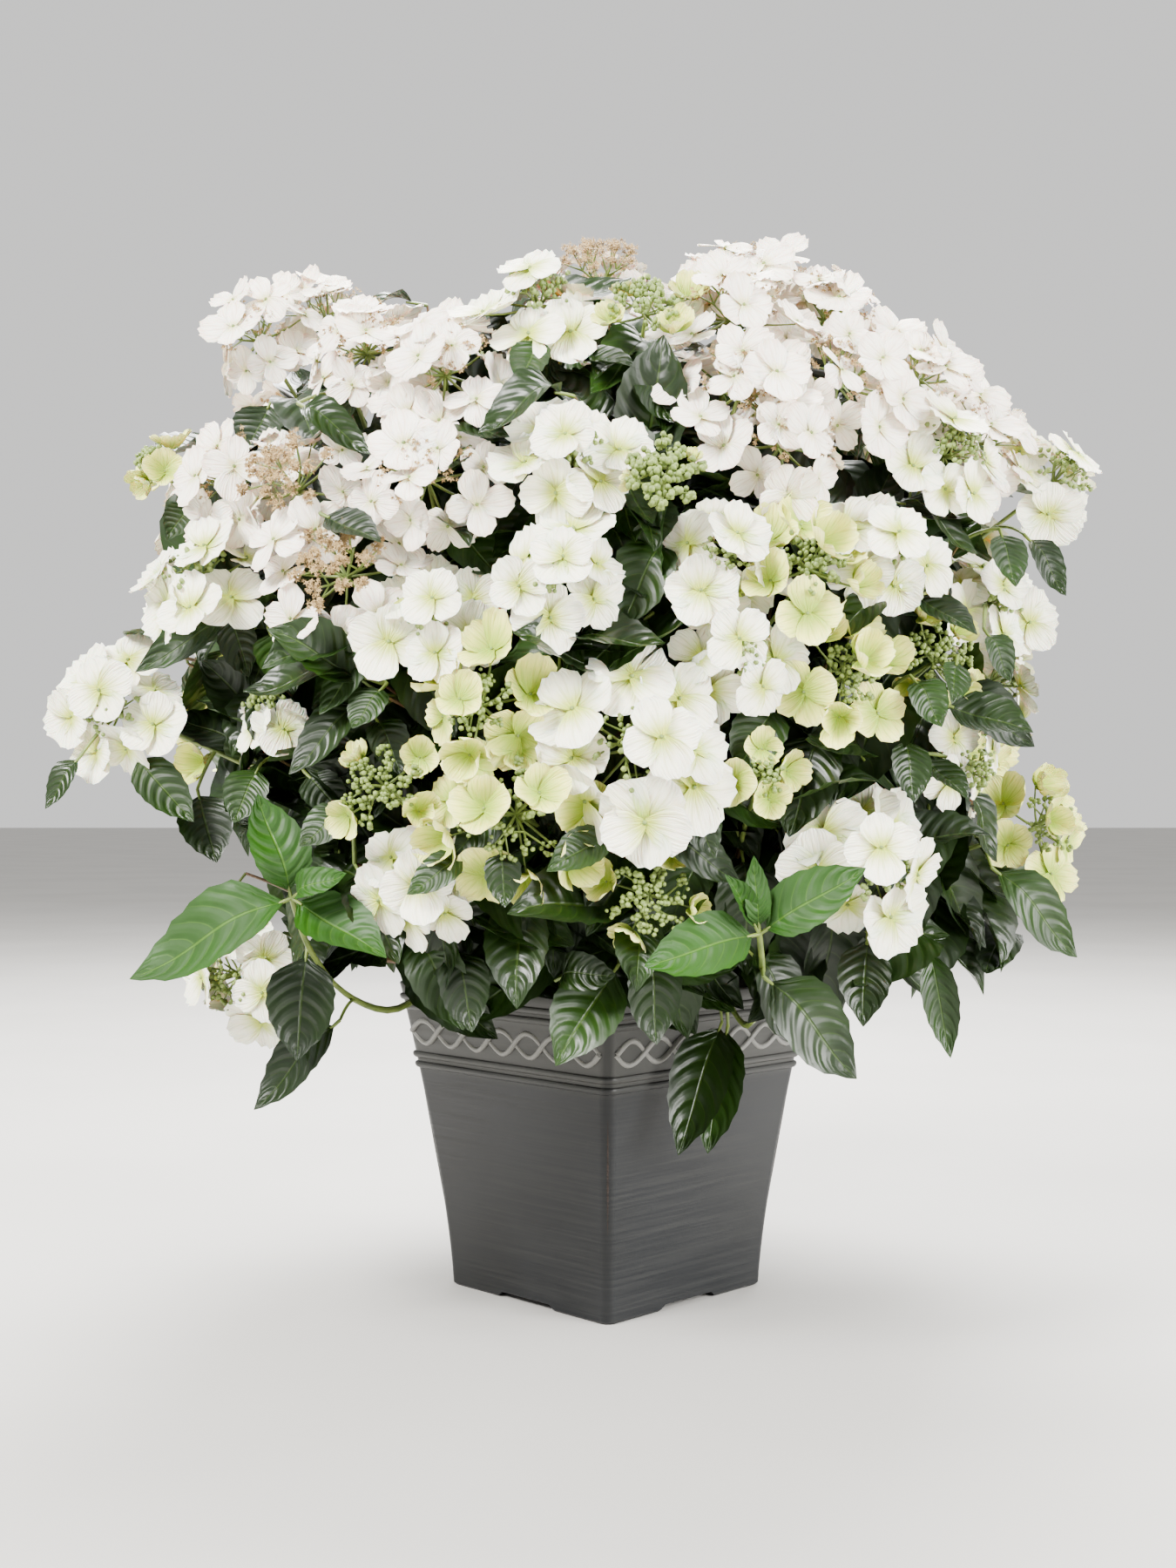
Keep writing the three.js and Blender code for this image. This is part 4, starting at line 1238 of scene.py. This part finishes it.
# Foot and tip (x, y, z) and width of each leaf, in millimetres, and its green.
dark, mid = "leafDark", "leafMid"
looseLeaves = [
    (80, -96, 206, 47, -150, 134, 41, dark), (84, -98, 204, 66, -140, 132, 38, mid),
    (6, -235, 258, -32, -262, 206, 44, mid), (24, -235, 270, 31, -262, 221, 34, dark),
    (-54, -240, 305, -59, -270, 241, 40, dark), (-97, -225, 270, -84, -250, 227, 32, dark),
    (-195, -190, 264, -199, -215, 203, 44, dark), (-175, -180, 217, -226, -200, 170, 36, dark),
    (94, -252, 252, 148, -274, 203, 44, dark), (164, -215, 277, 156, -236, 226, 34, dark),
    (207, -190, 267, 217, -205, 202, 24, mid), (253, -165, 316, 306, -182, 268, 34, mid),
    (-280, -125, 368, -265, -150, 326, 36, dark), (-352, -148, 392, -372, -160, 362, 20, dark),
    (-319, -145, 391, -280, -165, 352, 30, mid), (34, -266, 520, 8, -294, 474, 38, mid),
    (26, -272, 473, -16, -296, 440, 36, dark), (131, -244, 405, 110, -270, 348, 46, dark),
    (221, -185, 433, 270, -202, 404, 34, dark), (-226, -145, 630, -239, -168, 594, 34, dark),
    (-235, -150, 491, -308, -172, 453, 32, mid), (-216, -165, 478, -231, -192, 437, 36, dark),
    (-143, -218, 453, -182, -238, 424, 32, dark), (-33, -190, 659, -56, -218, 626, 34, mid),
    (26, -192, 653, 3, -216, 632, 26, dark), (-60, -262, 362, -92, -288, 332, 30, mid),
    (104, -250, 420, 78, -278, 384, 34, mid), (58, -258, 330, 36, -284, 290, 30, mid),
    (259, -165, 540, 263, -190, 506, 25, mid), (281, -140, 540, 303, -165, 506, 22, dark),
    (208, -225, 421, 257, -240, 404, 32, dark), (186, -245, 437, 200, -265, 414, 26, mid),
    (183, -240, 401, 185, -262, 366, 26, dark), (219, -225, 451, 211, -248, 425, 20, mid),
    (174, -235, 490, 137, -265, 464, 24, dark), (190, -225, 491, 222, -245, 466, 22, dark),
    (242, -195, 471, 255, -212, 445, 20, mid), (196, -225, 389, 217, -245, 365, 22, dark),
    (-219, -200, 471, -201, -228, 434, 32, mid), (-248, -175, 483, -234, -200, 449, 26, dark),
    (-147, -240, 453, -174, -262, 421, 26, mid), (-152, -235, 423, -194, -255, 385, 32, dark),
    (-137, -250, 432, -153, -268, 411, 27, mid), (-223, -190, 434, -219, -215, 402, 24, dark),
    (-226, -185, 384, -239, -205, 353, 30, mid), (-194, -215, 379, -170, -235, 356, 27, dark),
    (-146, -245, 413, -128, -265, 385, 26, dark), (-160, -240, 357, -184, -258, 338, 26, mid),
    (-192, -215, 492, -177, -240, 455, 29, dark), (-43, -232, 652, -55, -258, 617, 25, mid),
    (-29, -235, 639, 12, -255, 627, 21, dark), (21, -225, 650, 7, -250, 621, 21, mid),
    (16, -240, 627, 37, -262, 600, 24, dark), (-103, -258, 593, -67, -280, 582, 22, dark),
    (-85, -262, 576, -101, -284, 559, 20, mid), (-197, -222, 611, -155, -250, 585, 22, dark),
    (-277, -150, 562, -289, -172, 537, 22, mid), (-178, -255, 536, -143, -282, 517, 24, dark),
    (41, -285, 368, 61, -305, 335, 26, dark), (5, -288, 342, -33, -306, 323, 25, mid),
    (-66, -285, 333, -62, -303, 306, 22, dark), (26, -280, 342, 71, -298, 320, 27, dark),
    (-84, -280, 328, -114, -298, 310, 23, mid),
]
shootSeed = 41
looseTwig = {"thick": 0.0012, "behind": 0.02, "radii": (0.0016, 0.0011), "arch": 0.15, "steps": 6, "tip": 0.7,
             "bendSteps": 5, "endSteps": 3}
singleLeaf = {"stalk": 0.006, "overlap": 1.5, "radii": (0.00132, 0.0011), "sway": 0.25, "forward": -0.85,
              "up": 0.5, "thick": 0.7}


def growShoots():
    rng = random.Random(shootSeed)
    for shoot in shoots:
        knots = [vec(*point) / 1000 for point in shoot["path"]]
        path = [knots[0]]
        for i in range(1, len(knots) - 1):
            halfway = (knots[i] + knots[i + 1]) / 2
            path.extend(bow(path[-1], knots[i], halfway, looseTwig["bendSteps"])[1:])
        path.extend(bow(path[-1], (path[-1] + knots[-1]) / 2, knots[-1], looseTwig["endSteps"])[1:])
        addStem("twigGreen", path, shoot["radius"], shoot["radius"] * looseTwig["tip"])
        for *tip, width in shoot["leaves"]:
            growTo(rng, knots[-1], vec(*tip) / 1000, width / 1000, "leafYoung")
    joints = np.array([point for kind in ("twigRed", "twigGreen") for path, radii in stemRuns[kind]
                       for point in path if radii[0] > looseTwig["thick"]])
    for *ends, width, kind in looseLeaves:
        foot, tip = vec(*ends[:3]) / 1000, vec(*ends[3:]) / 1000
        away = np.linalg.norm(joints - foot + vec(0, -looseTwig["behind"], 0), axis=1)
        joint = joints[np.argmin(away)]
        arch = (joint + foot) / 2 + vec(0, 0, looseTwig["arch"] * np.linalg.norm(foot - joint))
        addStem("twigGreen", bow(joint, arch, foot, looseTwig["steps"]), *looseTwig["radii"])
        growTo(rng, foot, tip, width / 1000, kind)


def growTo(rng, foot, tip, width, kind):
    along = tip - foot
    length = np.linalg.norm(along)
    reach = along / length * singleLeaf["stalk"]
    face = unit(vec(wobble(rng, singleLeaf["sway"]), singleLeaf["forward"], singleLeaf["up"]))
    addStem("twigGreen", [foot, foot + reach * singleLeaf["overlap"]], *singleLeaf["radii"])
    sizes = length, width, length * singleLeaf["thick"]
    addCopy(kind, rng.choice(leafStencils), foot + reach, along, face, *sizes)


growShoots()


# Joining the crown

allMasses = [f"mass_{name}" for name in masses]
facesEach = 180000


def joinCrown():
    for kind, copies in grown.items():
        parts = max(1, math.ceil(sum(2 * len(stencil.sides) for stencil, _ in copies) / facesEach))
        size = math.ceil(len(copies) / parts)
        for part in range(parts):
            name = kind if parts == 1 else f"{kind}_{part + 1}"
            piece = makeJoined(name, copies[part * size:(part + 1) * size])
            register(piece, kind, "foliage_and_blossom", *allMasses)


joinCrown()
for kind in ("twigGreen", "twigRed"):
    register(makeStems(kind, stemRuns[kind], twigs["roundness"]), kind, "foliage_and_blossom", *allMasses)
caneBark = makeStems("caneBark", stemRuns["bark"], canes["roundness"])


# Bark, stool and soil

def roughen(piece, size, strength):
    addLumps(piece, size, strength)
    applyAll(piece)


barkRelief = (0.006, 0.0012)
roughen(caneBark, *barkRelief)
register(caneBark, "bark", "stem_bark", *[f"cane_{name}" for name in masses])

stoolShape = {"foot": 0.2085, "footRadius": 0.044, "height": 0.0265, "sides": 40, "relief": (0.012, 0.006),
              "levels": ((0.15, 0.96), (0.35, 0.86), (0.6, 0.76), (0.85, 0.68), (0.97, 0.55), (1.0, 0.35))}


def makeStool():
    shape = stoolShape
    dropSelection()
    foot, radius = shape["foot"], shape["footRadius"]
    bpy.ops.mesh.primitive_circle_add(
        vertices=shape["sides"], radius=radius, location=(0, 0, foot), fill_type="NGON")
    stool = takeNew("short_stem_bark")
    editAll()
    levels = [(foot + rise * shape["height"], radius * width) for rise, width in shape["levels"]]
    extrudeTo(foot, radius, levels)
    closeShell()
    roughen(stool, *shape["relief"])
    bpy.ops.object.shade_smooth()
    register(stool, "bark", "stem_bark", "short_stem")


makeStool()
makeSoil()


def makeCrumbs():
    rng = random.Random(soilShape["seed"])
    reach = planterHalf(soilShape["top"]) - planterShape["wall"] - soilShape["crumbGap"]
    copies = []
    while len(copies) < soilShape["crumbs"]:
        x, y = rng.uniform(-1, 1) * reach, rng.uniform(-1, 1) * reach
        size = rng.uniform(*soilShape["crumbSize"])
        at = vec((x - y) / math.sqrt(2), (x + y) / math.sqrt(2), soilShape["top"] + soilShape["crumbLift"])
        along = vec(wobble(rng, 1), wobble(rng, 1), soilShape["crumbTilt"])
        sizes = np.multiply(size, soilShape["crumbForm"])
        copies.append((beadStencil, placing(at, along, vec(0, 0, 1), *sizes)))
    register(makeJoined("soil_crumbs", copies), "soilCrumb", "soil")


makeCrumbs()
print("soil and stool made")


# Floor, light, camera

ground = {"size": 60, "rough": 0.8, "tones": ("b2b0ac", "a8a6a2"), "blotch": 2.0, "blotchShare": 0.5}


def makeStage():
    dropSelection()
    bpy.ops.mesh.primitive_plane_add(size=ground["size"])
    floor = takeNew("floor")
    material, tree, shader = startMaterial("paleFloor", Roughness=ground["rough"])
    base, blotch = map(tone, ground["tones"])
    body = useGroup(
        tree, mottle, Base=base, Blotch=blotch, Size=ground["blotch"], Amount=ground["blotchShare"])
    link(body.outputs["Colour"], shader.inputs["Base Color"])
    wear(floor, material)


lights = {
    "key": {"place": (-1.7, -1.7, 2.3), "size": 1.2, "power": 375, "colour": (1.0, 0.985, 0.96)},
    "fill": {"place": (2.2, -1.6, 1.2), "size": 1.6, "power": 250, "colour": (1.0, 0.99, 0.975)},
    "sky": {"place": (0.2, 1.4, 2.6), "size": 1.8, "power": 470, "colour": (1.0, 0.995, 0.985)},
}
lightAim = (0, 0, 0.4)


def addLight(name, light):
    dropSelection()
    bpy.ops.object.light_add(type="AREA", location=light["place"])
    lamp = bpy.context.object
    lamp.name = name
    lamp.data.size, lamp.data.energy, lamp.data.color = light["size"], light["power"], light["colour"]
    x, y, z = vec(*lightAim) - vec(*light["place"])
    lamp.rotation_euler = (math.atan2(math.hypot(x, y), -z), 0, math.atan2(-x, y))


makeStage()
for name, light in lights.items():
    addLight(name, light)

studio = {"Color": (0.91, 0.905, 0.895, 1), "Strength": 1.05}
world = bpy.data.worlds.new("studio")
world.use_nodes = True
for key, value in studio.items():
    world.node_tree.nodes["Background"].inputs[key].default_value = value
bpy.context.scene.world = world

view = {"place": (-0.0134, -1.393, 0.356), "tilt": 90.7, "lens": 42.66, "sensor": 36}
dropSelection()
bpy.ops.object.camera_add(location=view["place"], rotation=(math.radians(view["tilt"]), 0, 0))
camera = bpy.context.object
camera.data.lens, camera.data.sensor_width = view["lens"], view["sensor"]
bpy.context.scene.camera = camera
